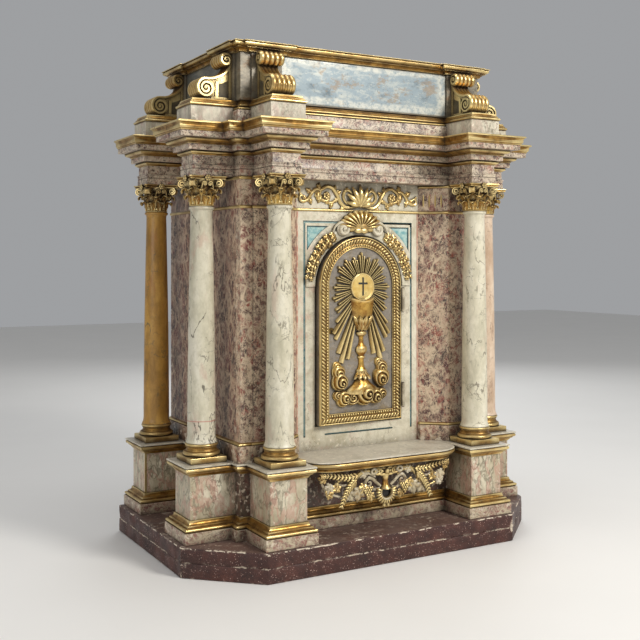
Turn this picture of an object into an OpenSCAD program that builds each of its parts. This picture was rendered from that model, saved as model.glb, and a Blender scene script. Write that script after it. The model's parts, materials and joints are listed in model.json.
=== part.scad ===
// Tabernacle box: a small carved and painted wooden temple front with six columns, an arched
// niche behind a hinged and locked door, an altar shelf and a low attic with volute brackets.
// Plan distances "behind the plinth front" are measured back from the plinth's front edge.

$fn = 48;

/* [Plinth] */
// Width of the plinth's front edge between its two cut corners
plinth_front_w = 566; // [560:1:590]
// How far each cut corner runs sideways
corner_cut_x = 123; // [118:1:130]
// How far each cut corner runs back
corner_cut_y = 113; // [100:1:120]
// Depth of the plinth and place of the flat back, behind the plinth front
plinth_d = 475; // [475:1:500]
// Thickness of each of the two plinth boards
plinth_board_t = 28; // [24:1:34]

/* [Pedestals] */
// Height of the plain band under the pedestals
base_band_h = 22; // [18:1:28]
// Height of the gilded moulding above that band
base_mould_h = 20; // [16:1:24]
// Height of the pedestal dies
die_h = 81; // [70:1:100]
// Half width of a pedestal die
die_half = 38; // [36:1:38]
// Projection of the base band beyond a die
base_out = 16; // [12:1:16]
// Height of the pedestal cornice and of the altar shelf
pedestal_cap_h = 21; // [18:1:26]
// Projection of the pedestal cornice beyond a die
pedestal_cap_out = 14; // [10:1:14]

/* [Body] */
// Half width of the body between its side faces
wall_x = 288; // [286:1:292]
// Front face of the body, behind the plinth front
wall_y = 108; // [107:1:112]
// Thickness of the wall boards
wall_t = 20; // [16:1:24]
// Height of the walls and columns, from pedestal cornice to architrave
wall_h = 543; // [535:1:600]
// Half width of the recessed central bay
bay_x = 147; // [140:1:150]
// Front face of the recessed bay, behind the plinth front
bay_y = 148; // [140:1:150]
// Distance from the centre at which the canted jambs start
splay_x = 196; // [192:1:198]

/* [Columns] */
// Distance of the front columns from the centre
front_col_x = 230; // [230:1:231]
// Front columns' axis, behind the plinth front
front_col_y = 59; // [57:1:59]
// Distance of the side columns from the centre
side_col_x = 342; // [342:1:344]
// Side columns' axis, behind the plinth front
side_col_y = 169; // [165:1:175]
// Rear columns' axis, behind the plinth front
rear_col_y = 420; // [415:1:421]
// Radius of a shaft at its foot
shaft_foot_r = 27; // [25:1:28]
// Radius of a shaft at its neck
shaft_neck_r = 21; // [19:1:22]
// Height of a column base
column_base_h = 36; // [32:1:40]
// Height of a capital
capital_h = 57; // [52:1:60]

/* [Entablature] */
// Half width of the architrave over a column
architrave_half = 31; // [30:1:33]
// Height of the architrave
architrave_h = 21; // [18:1:26]
// Height of the frieze
frieze_h = 18; // [16:1:24]
// Height of the mouldings under the corona
bed_mould_h = 30; // [27:1:36]
// Height of the corona
corona_h = 10; // [8:1:14]
// Height of the crowning cyma
cyma_h = 18; // [15:1:24]
// Projection of the cornice beyond the architrave
cornice_out = 45; // [40:1:46]

/* [Attic] */
// Half width of the attic body
attic_x = 284; // [280:1:286]
// Front face of the attic body, behind the plinth front
attic_y = 117; // [114:1:120]
// Thickness of the attic boards
attic_t = 18; // [14:1:22]
// Half width of the blocks that carry the volutes
attic_block_half = 35; // [34:1:36]
// Height of the attic's base band
attic_band_h = 34; // [30:1:40]
// Height of the moulding above that band
attic_mould_h = 15; // [12:1:18]
// Height of the attic panels and the volutes
attic_h = 91; // [88:1:100]
// Height of the crown
crown_h = 20; // [16:1:26]
// Projection of the crown beyond the attic body
crown_out = 20; // [18:1:21]
// Width of a volute bracket
volute_w = 48; // [44:1:52]

/* [Niche and door] */
// Height of the niche floor above the table
niche_floor_z = 247; // [245:1:255]
// Half width of the arched opening in the facade
opening_r = 105; // [103:1:106]
// Height of the centre of the arch above the table
arch_z = 530; // [520:1:535]
// Half width of the niche inside
niche_r = 92; // [88:1:93]
// Depth of the niche inside
niche_d = 252; // [200:1:270]
// Gap between the door and its opening
door_gap = 3.5; // [3.5:0.1:4]
// Thickness of the door panel
door_t = 18; // [16:1:19]
// Width of the door's gilded border
border_w = 22; // [18:1:24]
// Angle at which the door stands ajar
ajar_deg = 3; // [2.9:0.1:3.5]
// Travel of the lock bolt
bolt_travel = 10; // [8:1:10]

/* [Hidden] */

// Levels above the table
upper_board_z = plinth_board_t;
plinth_top = 2 * plinth_board_t;
mould_z = plinth_top + base_band_h;
die_z = mould_z + base_mould_h;
cap_z = die_z + die_h;
floor_z = cap_z + pedestal_cap_h;
shaft_z = floor_z + column_base_h;
architrave_z = floor_z + wall_h;
capital_z = architrave_z - capital_h;
shaft_h = capital_z - shaft_z;
frieze_z = architrave_z + architrave_h;
bed_z = frieze_z + frieze_h;
corona_z = bed_z + bed_mould_h;
cyma_z = corona_z + corona_h;
attic_z = cyma_z + cyma_h;
attic_mould_z = attic_z + attic_band_h;
attic_body_z = attic_mould_z + attic_mould_h;
crown_z = attic_body_z + attic_h;

// The part's origin lies half way between the cornice's front and the flat back
mid_y = (plinth_d + front_col_y - architrave_half - cornice_out) / 2;

// Column axes: front pair, side pair, rear pair
front_left = [-front_col_x, front_col_y];
front_right = [front_col_x, front_col_y];
side_left = [-side_col_x, side_col_y];
side_right = [side_col_x, side_col_y];
rear_left = [-side_col_x, rear_col_y];
rear_right = [side_col_x, rear_col_y];

// Courses tuck this far into the body so that their outlines join
tuck = 12;
rail_w = 55;
wall_band_h = 32;
wall_band_out = 8;
fillet_h = 6;
neck_fillet_out = 3;
panel_line_z = capital_z - 4;

// Shelf
shelf_half = front_col_x - die_half - pedestal_cap_out;
shelf_front = 20;
shelf_round_x = 66;
shelf_round_y = 50;
shelf_edge_h = 10;
shelf_edge_in = 6;

// Facade and niche
facade_back = bay_y + wall_t;
casing_r = opening_r + 7;
niche_back_y = facade_back + niche_d;
niche_back_t = 12;
floor_board_t = 20;
floor_rebate = 3;
casing_z = niche_floor_z - floor_rebate;

// Door, drawn closed and then turned about its hinge
door_r = opening_r - door_gap;
door_z = niche_floor_z + 3;
door_front = bay_y - 1;
door_back = door_front + door_t;
border_t = 5;
hinge_x = opening_r - door_gap / 2;
hinge_y = door_front - border_t - 3.5;
leaf_t = 1.2;
leaf_h = 50;
leaf_back = hinge_y + 21.5;
leaf_start = hinge_y + 3.5;
knuckle_r = 3;
pin_r = 1.5;
running_gap = 0.05;
knuckle_h = 16;
knuckle_gap = 0.3;
hinge_z = [275, 475];
screw_r = 1.1;
screw_head_r = 2.1;
screw_len = 9.5;
screw_y = hinge_y + 17.5;
screw_steps = [8, 25, 42];

// Lock
key_x = -72.5;
key_z = 440;
case_x0 = -88;
case_x1 = -40;
case_t = 17;
case_z0 = 415;
case_z1 = 475;
bolt_x0 = case_x0 + 0.5;
bolt_len = 36;
bolt_y0 = door_back + 7;
bolt_t = 4.5;
bolt_z0 = 452;
bolt_h = 12;
bolt_gap = 0.2;
mortise_gap = 1;
mortise_d = 12;
rail_z0 = bolt_z0 - mortise_gap;
rail_z1 = bolt_z0 + bolt_h + mortise_gap;

// Door relief
host_z = 528;
host_r = 29;
ray_t = 6;
relief_axis_in = 8;

// ---------- helpers ----------

module placed() translate([0, -mid_y, 0]) children();

module box(x0, x1, y0, y1, z0, z1)
    translate([x0, y0, z0]) cube([x1 - x0, y1 - y0, z1 - z0]);

module both_sides() {
    children();
    mirror([1, 0, 0]) children();
}

module right_side() mirror([1, 0, 0]) children();

// An outline in the X-Z plane, given a thickness in front of the plane y
module relief(y, t) translate([0, y, 0]) rotate([90, 0, 0]) linear_extrude(t) children();

function arc(cx, cy, rx, ry, a0, a1, n) =
    [for (i = [0:n]) [cx + rx * cos(a0 + (a1 - a0) * i / n), cy + ry * sin(a0 + (a1 - a0) * i / n)]];

// Plan of one course: the body and a break forward over each column
module course_plan(body_x, body_y, half, out) {
    h = half + out;
    translate([-body_x - out, body_y - out])
        square([2 * (body_x + out), plinth_d - body_y + out]);
    both_sides() {
        translate([-front_col_x - h, front_col_y - h])
            square([2 * h, body_y - front_col_y + h + tuck]);
        translate([-side_col_x - h, side_col_y - h])
            square([side_col_x - body_x + h + tuck, 2 * h]);
        translate([-side_col_x - h, rear_col_y - h])
            square([side_col_x - body_x + h + tuck, min(2 * h, plinth_d - rear_col_y + h)]);
    }
}

module course(z, h, body_x, body_y, half, out)
    translate([0, 0, z]) linear_extrude(h) course_plan(body_x, body_y, half, out);

// A stack of equal steps whose projection runs from out0 to out1. Each narrower step carries on
// through the wider ones, so that the whole stack is one solid.
module stepped_course(z, h, body_x, body_y, half, out0, out1, steps = 3)
    for (i = [0:steps - 1]) {
        widens = out1 > out0;
        low = widens ? i * h / steps : 0;
        high = widens ? h : (i + 1) * h / steps;
        course(z + low, high - low, body_x, body_y, half,
            out0 + (out1 - out0) * i / (steps - 1));
    }

// Cuts a course back to a frame of rails round the hollow of the carcass
module as_frame(z, h) difference() {
    children();
    box(-wall_x + rail_w, wall_x - rail_w, wall_y + rail_w, plinth_d - rail_w, z - 1, z + h + 1);
}

// ---------- plinth and pedestals ----------

module plinth_plan() {
    half = plinth_front_w / 2;
    full = half + corner_cut_x;
    polygon([[-half, 0], [half, 0], [full, corner_cut_y], [full, plinth_d],
        [-full, plinth_d], [-full, corner_cut_y]]);
}

module plinth_lower_board()
    color("#4a2226") placed() linear_extrude(plinth_board_t) plinth_plan();

module plinth_upper_board()
    color("#56282c") placed() translate([0, 0, upper_board_z])
        linear_extrude(plinth_board_t) plinth_plan();

module pedestal_base_course()
    color("#b58f85") placed() as_frame(plinth_top, base_band_h + base_mould_h) {
        course(plinth_top, base_band_h, wall_x, wall_y, die_half, base_out);
        stepped_course(mould_z, base_mould_h, wall_x, wall_y, die_half, base_out - 3, 2);
    }

module dado_front_board()
    color("#8d6a66") placed()
        box(-wall_x + wall_t, wall_x - wall_t, wall_y, wall_y + wall_t, die_z, cap_z);

module dado_side_left()
    color("#8d6a66") placed()
        box(-wall_x, -wall_x + wall_t, wall_y, plinth_d, die_z, cap_z);

module dado_side_right() right_side() dado_side_left();

module dado_back_board()
    color("#6e5240") placed()
        box(-wall_x + wall_t, wall_x - wall_t, plinth_d - wall_t, plinth_d, die_z, cap_z);

module pedestals_front()
    color("#d9d0b8") placed() both_sides()
        box(-front_col_x - die_half, -front_col_x + die_half,
            front_col_y - die_half, wall_y, die_z, cap_z);

module pedestals_side()
    color("#d9d0b8") placed() both_sides() for (y = [side_col_y, rear_col_y])
        box(-side_col_x - die_half, -wall_x, y - die_half, y + die_half, die_z, cap_z);

module pedestal_cornice()
    color("#c9a24a") placed() difference() {
        stepped_course(cap_z, pedestal_cap_h, wall_x, wall_y, die_half, 5, pedestal_cap_out);
        translate([0, 0, cap_z - 1]) linear_extrude(pedestal_cap_h + 2) shelf_seat();
    }

module shelf_plan(inset) {
    rx = shelf_round_x - inset;
    ry = shelf_round_y - inset;
    x = shelf_half - inset;
    y = shelf_front + inset + ry;
    polygon(concat(
        arc(-x + rx, y, rx, ry, 180, 270, 12),
        arc(x - rx, y, rx, ry, 270, 360, 12),
        [[x, facade_back], [-x, facade_back]]));
}

// The part of the course's plan that the shelf fills, in front of the bay and its jambs
module shelf_seat() difference() {
    translate([-shelf_half, -1]) square([2 * shelf_half, bay_y + 1]);
    both_sides() front_wall_plan(wall_band_out);
}

module mensa_shelf()
    color("#cfc8b6") placed() {
        translate([0, 0, floor_z - shelf_edge_h]) linear_extrude(shelf_edge_h)
            intersection() { shelf_plan(0); shelf_seat(); }
        translate([0, 0, cap_z]) linear_extrude(pedestal_cap_h - shelf_edge_h)
            intersection() { shelf_plan(shelf_edge_in); shelf_seat(); }
    }

// Two sprays hanging under the shelf, joined by a knot above a ring
module shelf_carving() {
    span = 150;
    top = cap_z - 4;
    bar_h = 18;
    sag = 34;
    drop = 24;
    n = 12;
    upper = [for (i = [0:n]) [span * i / n, top - 8 - 10 * sin(180 * i / n)]];
    lower = [for (i = [n:-1:0]) [span * i / n, top - drop - sag * sin(180 * i / n)]];
    color("#b98a2c") placed() {
        relief(54, 12) difference() {
            union() {
                both_sides() polygon(concat(upper, lower));
                translate([0, top - 22]) circle(20);
                translate([0, top - 52]) circle(18);
            }
            translate([0, top - 52]) circle(8);
        }
        relief(54, 12) translate([-20, top - bar_h]) square([40, bar_h + 4]);
    }
}

// ---------- columns ----------

// Base: a square plinth block under a lower roll, a hollow and an upper roll
module column_base(at) {
    block_h = 12;
    roll_r = 6;
    bead_r = 3.5;
    base_r = shaft_foot_r + 4;
    translate([at[0], at[1], floor_z]) {
        translate([-die_half + 1, -die_half + 1, 0])
            cube([2 * die_half - 2, 2 * die_half - 2, block_h]);
        translate([0, 0, block_h]) rotate_extrude() polygon(concat(
            [[0, -1], [base_r - 2, -1]],
            arc(base_r - 1, roll_r, roll_r - 1, roll_r, -80, 80, 8),
            [[base_r - 2, 2 * roll_r + 3]],
            arc(base_r - 1, column_base_h - block_h - bead_r - 1, bead_r, bead_r, -80, 80, 6),
            [[base_r - 1, column_base_h - block_h], [0, column_base_h - block_h]]));
    }
}

module column_bases_front()
    color("#c39a3e") placed() for (at = [front_left, front_right]) column_base(at);

module column_bases_side()
    color("#c39a3e") placed() for (at = [side_left, side_right]) column_base(at);

module column_bases_rear()
    color("#a07c35") placed() for (at = [rear_left, rear_right]) column_base(at);

// Shaft radius with entasis, for t from 0 at the foot to 1 at the neck
function shaft_r(t) = shaft_foot_r - (shaft_foot_r - shaft_neck_r) * pow(t, 1.6);

module column_shaft(at) {
    n = 10;
    ring_h = 6;
    ring_out = 3.5;
    translate([at[0], at[1], shaft_z]) rotate_extrude() polygon(concat(
        [[0, 0], [shaft_foot_r + ring_out, 0], [shaft_foot_r + ring_out, ring_h / 2]],
        [for (i = [0:n]) [shaft_r(i / n), ring_h + (shaft_h - 2 * ring_h) * i / n]],
        [[shaft_neck_r + ring_out, shaft_h - ring_h + 1], [shaft_neck_r + ring_out, shaft_h],
            [0, shaft_h]]));
}

module column_shaft_front_left() color("#e4dfcd") placed() column_shaft(front_left);
module column_shaft_front_right() color("#e4dfcd") placed() column_shaft(front_right);
module column_shaft_side_left() color("#dfdac8") placed() column_shaft(side_left);
module column_shaft_side_right() color("#e2cdbb") placed() column_shaft(side_right);
module column_shaft_rear_left() color("#d09a35") placed() column_shaft(rear_left);
module column_shaft_rear_right() color("#d09a35") placed() column_shaft(rear_right);

// Capital: a bell with two flaring rows of leaves, corner scrolls and a hollow-sided abacus
module column_capital(at) {
    abacus_h = 12;
    abacus_half = 42;
    hollow_r = 120;
    hollow_in = 7;
    scroll_r = 6;
    scroll_w = 8;
    scroll_at = 45;
    neck = shaft_neck_r + 1;
    bell_h = capital_h - abacus_h;
    translate([at[0], at[1], capital_z]) {
        rotate_extrude() polygon([[0, 0], [neck, 0], [neck + 3, bell_h * 0.15],
            [neck + 9, bell_h * 0.42], [neck + 4, bell_h * 0.48], [neck + 6, bell_h * 0.62],
            [neck + 13, bell_h * 0.8], [neck + 9, bell_h * 0.88], [neck + 11, bell_h],
            [0, bell_h]]);
        translate([0, 0, bell_h]) linear_extrude(abacus_h) difference() {
            square(2 * abacus_half, center = true);
            for (a = [0:90:270]) rotate(a)
                translate([0, abacus_half + hollow_r - hollow_in]) circle(hollow_r);
        }
        for (a = [45:90:315]) rotate([0, 0, a])
            translate([scroll_at, scroll_w / 2, bell_h - scroll_r / 2])
                rotate([90, 0, 0]) cylinder(r = scroll_r, h = scroll_w);
        for (a = [45:90:315]) rotate([0, 0, a])
            translate([neck, -scroll_w / 2 + 1, bell_h - 5])
                cube([scroll_at - neck, scroll_w - 2, 5]);
    }
}

module column_capital_front_left() color("#c7982f") placed() column_capital(front_left);
module column_capital_front_right() color("#c7982f") placed() column_capital(front_right);
module column_capital_side_left() color("#c7982f") placed() column_capital(side_left);
module column_capital_side_right() color("#c7982f") placed() column_capital(side_right);
module column_capital_rear_left() color("#b88b2b") placed() column_capital(rear_left);
module column_capital_rear_right() color("#b88b2b") placed() column_capital(rear_right);

// ---------- walls ----------

// Plan of the left front wall: plain front, canted jamb, and its edge beside the bay.
// An offset parallel to a face moves the canted face by out / cos(its angle).
module front_wall_plan(out) {
    slope = (bay_y - wall_y) / (splay_x - bay_x);
    slant = out * sqrt(1 + slope * slope);
    back_in = 13;
    polygon([
        [-wall_x - out, wall_y - out],
        [-splay_x + (slant - out) / slope, wall_y - out],
        [-bay_x, bay_y - slant],
        [-bay_x, facade_back],
        [-bay_x - back_in, facade_back],
        [-splay_x - back_in, wall_y + wall_t],
        [-wall_x - out, wall_y + wall_t]]);
}

module front_wall_layers() {
    translate([0, 0, floor_z]) linear_extrude(wall_h) front_wall_plan(0);
    translate([0, 0, floor_z]) linear_extrude(wall_band_h) front_wall_plan(wall_band_out);
    translate([0, 0, floor_z + wall_band_h]) linear_extrude(fillet_h)
        front_wall_plan(wall_band_out - 2);
    for (z = [panel_line_z, architrave_z - fillet_h]) translate([0, 0, z])
        linear_extrude(fillet_h) front_wall_plan(neck_fillet_out);
}

module front_wall_left() color("#9a726b") placed() front_wall_layers();
module front_wall_right() color("#9a726b") placed() right_side() front_wall_layers();

module side_wall_layers() {
    y0 = wall_y + wall_t;
    box(-wall_x, -wall_x + wall_t, y0, plinth_d, floor_z, architrave_z);
    box(-wall_x - wall_band_out, -wall_x, y0, plinth_d, floor_z, floor_z + wall_band_h);
    box(-wall_x - wall_band_out + 2, -wall_x, y0, plinth_d,
        floor_z + wall_band_h, floor_z + wall_band_h + fillet_h);
    for (z = [panel_line_z, architrave_z - fillet_h])
        box(-wall_x - neck_fillet_out, -wall_x, y0, plinth_d, z, z + fillet_h);
}

module side_wall_left() color("#7c5a56") placed() side_wall_layers();
module side_wall_right() color("#7c5a56") placed() right_side() side_wall_layers();

// Round-headed outline standing on z0, about the arch's centre
module arched(r, z0) {
    translate([0, arch_z]) circle(r, $fn = 96);
    translate([-r, z0]) square([2 * r, arch_z - z0]);
}

module facade_panel() {
    band_w = 22;
    band_t = 3;
    line_t = 4;
    color("#e3dcc4") placed() difference() {
        union() {
            box(-bay_x, bay_x, bay_y, facade_back, floor_z, architrave_z);
            box(-bay_x, bay_x, bay_y - line_t, bay_y, panel_line_z, panel_line_z + fillet_h);
            relief(bay_y, band_t) difference() {
                arched(opening_r + band_w, niche_floor_z);
                translate([-bay_x, 0]) square([2 * bay_x, arch_z]);
            }
        }
        relief(facade_back + 1, wall_t + 20) arched(opening_r, niche_floor_z);
        frame_screw_holes();
    }
}

module back_panel()
    color("#6e5240") placed()
        box(-wall_x + wall_t, wall_x - wall_t, plinth_d - wall_t, plinth_d,
            floor_z, architrave_z);

// ---------- niche ----------

// The casing's sides stand in a rebate of the floor board. Its left side is two boards with the
// strike rail between them, and its vault is a half ring.
module niche_casing()
    color("#8a2f2a") placed() {
        relief(niche_back_y, niche_d) translate([0, arch_z]) difference() {
            circle(casing_r, $fn = 96);
            circle(niche_r, $fn = 96);
            translate([-casing_r - 1, -casing_r - 1]) square([2 * casing_r + 2, casing_r + 1]);
        }
        box(niche_r, casing_r, facade_back, niche_back_y, casing_z, arch_z);
        box(-casing_r, -niche_r, facade_back, niche_back_y, casing_z, rail_z0);
        box(-casing_r, -niche_r, facade_back, niche_back_y, rail_z1, arch_z);
    }

// Rail of the casing's left side with the mortise for the bolt
module strike_rail()
    color("#7a2a26") placed() difference() {
        box(-casing_r, -niche_r, facade_back, niche_back_y, rail_z0, rail_z1);
        box(-niche_r - mortise_d, -niche_r + 1, bolt_y0 - mortise_gap,
            bolt_y0 + bolt_t + mortise_gap, rail_z0 - 1, rail_z1 + 1);
    }

module niche_floor() {
    bearer_w = 30;
    y1 = niche_back_y + niche_back_t;
    under = niche_floor_z - floor_board_t;
    color("#7a4a30") placed() {
        box(-casing_r, casing_r, facade_back, y1, under, casing_z);
        box(-niche_r, niche_r, facade_back, niche_back_y, under, niche_floor_z);
        for (y = [facade_back + 10, y1 - bearer_w - 10])
            box(-casing_r, casing_r, y, y + bearer_w, floor_z, under);
    }
}

module niche_back()
    color("#8a2f2a") placed()
        relief(niche_back_y + niche_back_t, niche_back_t) arched(casing_r, casing_z);

// ---------- entablature and attic ----------

module architrave_frieze()
    color("#c9a79c") placed() as_frame(architrave_z, architrave_h + frieze_h) {
        course(architrave_z, architrave_h, wall_x, wall_y, architrave_half, 0);
        course(frieze_z, frieze_h, wall_x, wall_y, architrave_half, -2);
    }

module cornice_bed() {
    lower = 8;
    fascia = 12;
    color("#b98d3a") placed() as_frame(bed_z, bed_mould_h) {
        course(bed_z, lower, wall_x, wall_y, architrave_half, 4);
        course(bed_z + lower, fascia, wall_x, wall_y, architrave_half, 11);
        stepped_course(bed_z + lower + fascia, bed_mould_h - lower - fascia,
            wall_x, wall_y, architrave_half, 14, 22, 2);
    }
}

module cornice_corona()
    color("#c9a79c") placed() as_frame(corona_z, corona_h + cyma_h) {
        course(corona_z, corona_h, wall_x, wall_y, architrave_half, cornice_out - 9);
        stepped_course(cyma_z, cyma_h, wall_x, wall_y, architrave_half,
            cornice_out - 7, cornice_out);
    }

module attic_base() {
    band_out = 10;
    color("#c7b3a4") placed() as_frame(attic_z, attic_band_h + attic_mould_h) {
        translate([0, 0, attic_z]) linear_extrude(attic_band_h) {
            course_plan(attic_x, attic_y, attic_block_half, 0);
            translate([-attic_x - band_out, attic_y - band_out])
                square([2 * (attic_x + band_out), plinth_d - attic_y + band_out]);
        }
        stepped_course(attic_mould_z, attic_mould_h, attic_x, attic_y, attic_block_half, 1, -3);
    }
}

module attic_carcass() {
    pilaster_out = 4;
    pilaster_half = 32;
    color("#aeb6ba") placed() difference() {
        union() {
            box(-attic_x, attic_x, attic_y, plinth_d, attic_body_z, crown_z);
            both_sides() {
                box(-front_col_x - pilaster_half, -front_col_x + pilaster_half,
                    attic_y - pilaster_out, attic_y, attic_body_z, crown_z);
                for (y = [side_col_y, rear_col_y])
                    box(-attic_x - pilaster_out, -attic_x, y - pilaster_half,
                        y + pilaster_half, attic_body_z, crown_z);
            }
        }
        box(-attic_x + attic_t, attic_x - attic_t, attic_y + attic_t, plinth_d - attic_t,
            attic_body_z - 1, crown_z + 1);
    }
}

// The crown breaks forward a little over each bracket
module crown_plan(out) {
    break_half = 36;
    break_out = out + 6;
    translate([-attic_x - out, attic_y - out])
        square([2 * (attic_x + out), plinth_d - attic_y + out]);
    both_sides() {
        translate([-front_col_x - break_half, attic_y - break_out])
            square([2 * break_half, break_out + tuck]);
        for (y = [side_col_y, rear_col_y])
            translate([-attic_x - break_out, y - break_half])
                square([break_out + tuck, min(2 * break_half, plinth_d - y + break_half)]);
    }
}

module attic_crown()
    color("#bd9338") placed() for (i = [0:2])
        translate([0, 0, crown_z + i * crown_h / 3]) linear_extrude(crown_h * (3 - i) / 3)
            crown_plan(crown_out - 10 + 5 * i);

// Side outline of a bracket that leans on the wall plane x = 0: a large roll at the foot,
// a hollow neck and a small roll under the crown. Distances run out from the wall.
module volute_outline() {
    foot_r = 22;
    head_r = 12;
    foot_at = 57;
    head_at = 8;
    polygon(concat(
        [[0, 0]],
        arc(foot_at, foot_r, foot_r, foot_r, -90, 95, 16),
        arc(foot_at - 4, attic_h - head_r - 2, 30, 33, 250, 200, 5),
        arc(head_at, attic_h - head_r, head_r, head_r, -35, 90, 8),
        [[0, attic_h]]));
}

// The bracket at the origin, leaning back on the plane x = 0 and reaching out along +X
module volute()
    translate([0, volute_w / 2, 0]) rotate([90, 0, 0]) linear_extrude(volute_w)
        volute_outline();

module volutes_front()
    color("#bb9136") placed() both_sides()
        translate([-front_col_x, attic_y - 4, attic_body_z]) rotate([0, 0, -90]) volute();

module volutes_side()
    color("#b28931") placed() both_sides() for (y = [side_col_y, rear_col_y])
        translate([-attic_x - 4, y, attic_body_z]) rotate([0, 0, 180]) volute();

// ---------- carved ornament ----------

// Scroll band of the bay frieze with a palmette in the middle
module bay_ornament() {
    span = 140;
    mid_z = panel_line_z + 38;
    rise = 9;
    half_w = 7;
    n = 16;
    wave = [for (i = [-n:n]) [span * i / n, mid_z + rise * sin(360 * abs(i) / n)]];
    color("#c39a3e") placed() relief(bay_y, 6) {
        polygon(concat(
            [for (p = wave) [p[0], p[1] + half_w]],
            [for (i = [2 * n:-1:0]) [wave[i][0], wave[i][1] - half_w]]));
        translate([0, mid_z]) circle(17);
    }
}

// Shell at the crown of the arch with a garland running down each side
module arch_crest() {
    garland_r0 = opening_r + 6;
    garland_r1 = opening_r + 20;
    low_deg = 10;
    high_deg = 62;
    shell_z = arch_z + opening_r + 8;
    shell_foot = arch_z + opening_r + 1;
    color("#c39a3e") placed() {
        relief(bay_y - 3, 8) both_sides() polygon(concat(
            arc(0, arch_z, garland_r1, garland_r1, low_deg, high_deg, 12),
            arc(0, arch_z, garland_r0, garland_r0, high_deg, low_deg, 12)));
        relief(bay_y - 4.5, 12) polygon(concat(
            arc(0, shell_z, 46, 35, 0, 180, 20), [[-34, shell_foot], [34, shell_foot]]));
    }
}

// ---------- hinges ----------

// Leaf and knuckles of one hinge: side is -1 for the door's leaf and 1 for the frame's
module hinge_leaf(z0, side, knuckles, bore_r) {
    x0 = hinge_x + side * (door_gap / 2);
    x1 = x0 - side * leaf_t;
    lo = min(x0, x1);
    difference() {
        union() {
            box(lo, lo + leaf_t, leaf_start, leaf_back, z0, z0 + leaf_h);
            for (k = knuckles) {
                box(lo, lo + leaf_t, hinge_y, leaf_start + 0.5, z0 + k[0], z0 + k[1]);
                translate([hinge_x, hinge_y, z0 + k[0]])
                    cylinder(r = knuckle_r, h = k[1] - k[0]);
            }
        }
        translate([hinge_x, hinge_y, z0 - 1]) cylinder(r = bore_r, h = leaf_h + 2);
    }
}

// A countersunk screw lying along X, its head flush with the leaf's face
module hinge_screw(x_face, side, y, z)
    translate([x_face, y, z]) rotate([0, 90 * side, 0]) {
        cylinder(r1 = screw_head_r, r2 = screw_r, h = leaf_t);
        cylinder(r = screw_r, h = leaf_t + screw_len);
    }

module hinge_screws(x_face, side)
    for (z0 = hinge_z) for (step = screw_steps) hinge_screw(x_face, side, screw_y, z0 + step);

module frame_screw_holes() hinge_screws(opening_r - leaf_t, 1);

module frame_hinge_leaves() {
    ends = [[0, knuckle_h], [leaf_h - knuckle_h, leaf_h]];
    color("#6b6458") placed() difference() {
        for (z0 = hinge_z) hinge_leaf(z0, 1, ends, pin_r);
        frame_screw_holes();
    }
}

module frame_hinge_screws() color("#8c8575") placed() frame_screw_holes();

module hinge_pins() {
    head_r = 2.4;
    head_h = 1.5;
    color("#8c8575") placed() for (z0 = hinge_z) translate([hinge_x, hinge_y, z0]) {
        cylinder(r = pin_r, h = leaf_h);
        translate([0, 0, leaf_h]) cylinder(r = head_r, h = head_h);
        translate([0, 0, -head_h]) cylinder(r = head_r, h = head_h);
    }
}

// ---------- door ----------

// Turns a closed door piece to the angle at which the door stands
module ajar()
    placed() translate([hinge_x, hinge_y, 0]) rotate([0, 0, ajar_deg])
        translate([-hinge_x, -hinge_y, 0]) children();

module door_screw_holes() hinge_screws(door_r + leaf_t, -1);

module keyhole(y0, y1) {
    hole_r = 1.8;
    slot_w = 2;
    slot_h = 6;
    relief(y1, y1 - y0) {
        translate([key_x, key_z]) circle(hole_r);
        translate([key_x - slot_w / 2, key_z - slot_h]) square([slot_w, slot_h]);
    }
}

module door_panel()
    color("#a3a2a0") ajar() difference() {
        relief(door_back, door_t) arched(door_r, door_z);
        keyhole(door_front - 1, door_back + 1);
        door_screw_holes();
    }

module door_border()
    color("#c39a3e") ajar() relief(door_front, border_t) difference() {
        arched(door_r, door_z);
        arched(door_r - border_w, door_z + border_w);
    }

// Rays around the host: each is a narrow wedge, long and short in turn
module door_sunburst() {
    rays = 36;
    root_r = 20;
    side_reach = 68;
    color("#cda544") ajar() relief(door_front, ray_t) difference() {
        for (i = [0:rays - 1]) {
            a = 360 * (i + 0.5) / rays;
            down = max(0, -sin(a));
            reach = (side_reach + 95 * pow(down, 3)) * (i % 2 == 0 ? 1 : 0.86);
            if (down < 0.985) translate([0, host_z]) rotate(a)
                polygon([[root_r, -2.2], [reach, -3], [reach, 3], [root_r, 2.2]]);
        }
        translate([0, host_z]) circle(host_r + 3);
        translate([-host_r - 3, host_z - 100]) square([2 * host_r + 6, 100]);
    }
}

// Half-turned cup with stem, knop and foot, and the round host above it
module door_chalice() {
    axis_y = door_front + relief_axis_in;
    color("#c39a3e") ajar() {
        intersection() {
            translate([0, axis_y, 0]) rotate_extrude() polygon([[0, 311], [24, 311], [22, 318],
                [12, 345], [10, 360], [13, 364], [9, 372], [9, 386], [14, 398], [10, 410],
                [9.5, 428], [13, 433], [12, 440], [22, 452], [28, 475], [30, 505], [0, 505]]);
            box(-40, 40, door_front - 30, door_front, 300, 520);
        }
        relief(door_front, 9) translate([0, host_z]) circle(host_r);
    }
}

// Cloud puffs at the foot of the cup
module door_clouds() {
    puffs = [[-56, 338, 17], [50, 334, 17], [49, 362, 12], [-46, 299, 16], [41, 298, 15],
        [-22, 302, 14], [19, 301, 15]];
    color("#cda544") ajar() difference() {
        for (p = puffs) relief(door_front, 10) translate([p[0], p[1]]) circle(p[2]);
        box(-25, 25, door_front - 40, door_front + 1, 308, 350);
    }
}

module door_hinge_leaves() {
    middle = [[knuckle_h + knuckle_gap, leaf_h - knuckle_h - knuckle_gap]];
    color("#6b6458") ajar() difference() {
        for (z0 = hinge_z) hinge_leaf(z0, -1, middle, pin_r + running_gap);
        door_screw_holes();
    }
}

module door_hinge_screws() color("#8c8575") ajar() door_screw_holes();

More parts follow.
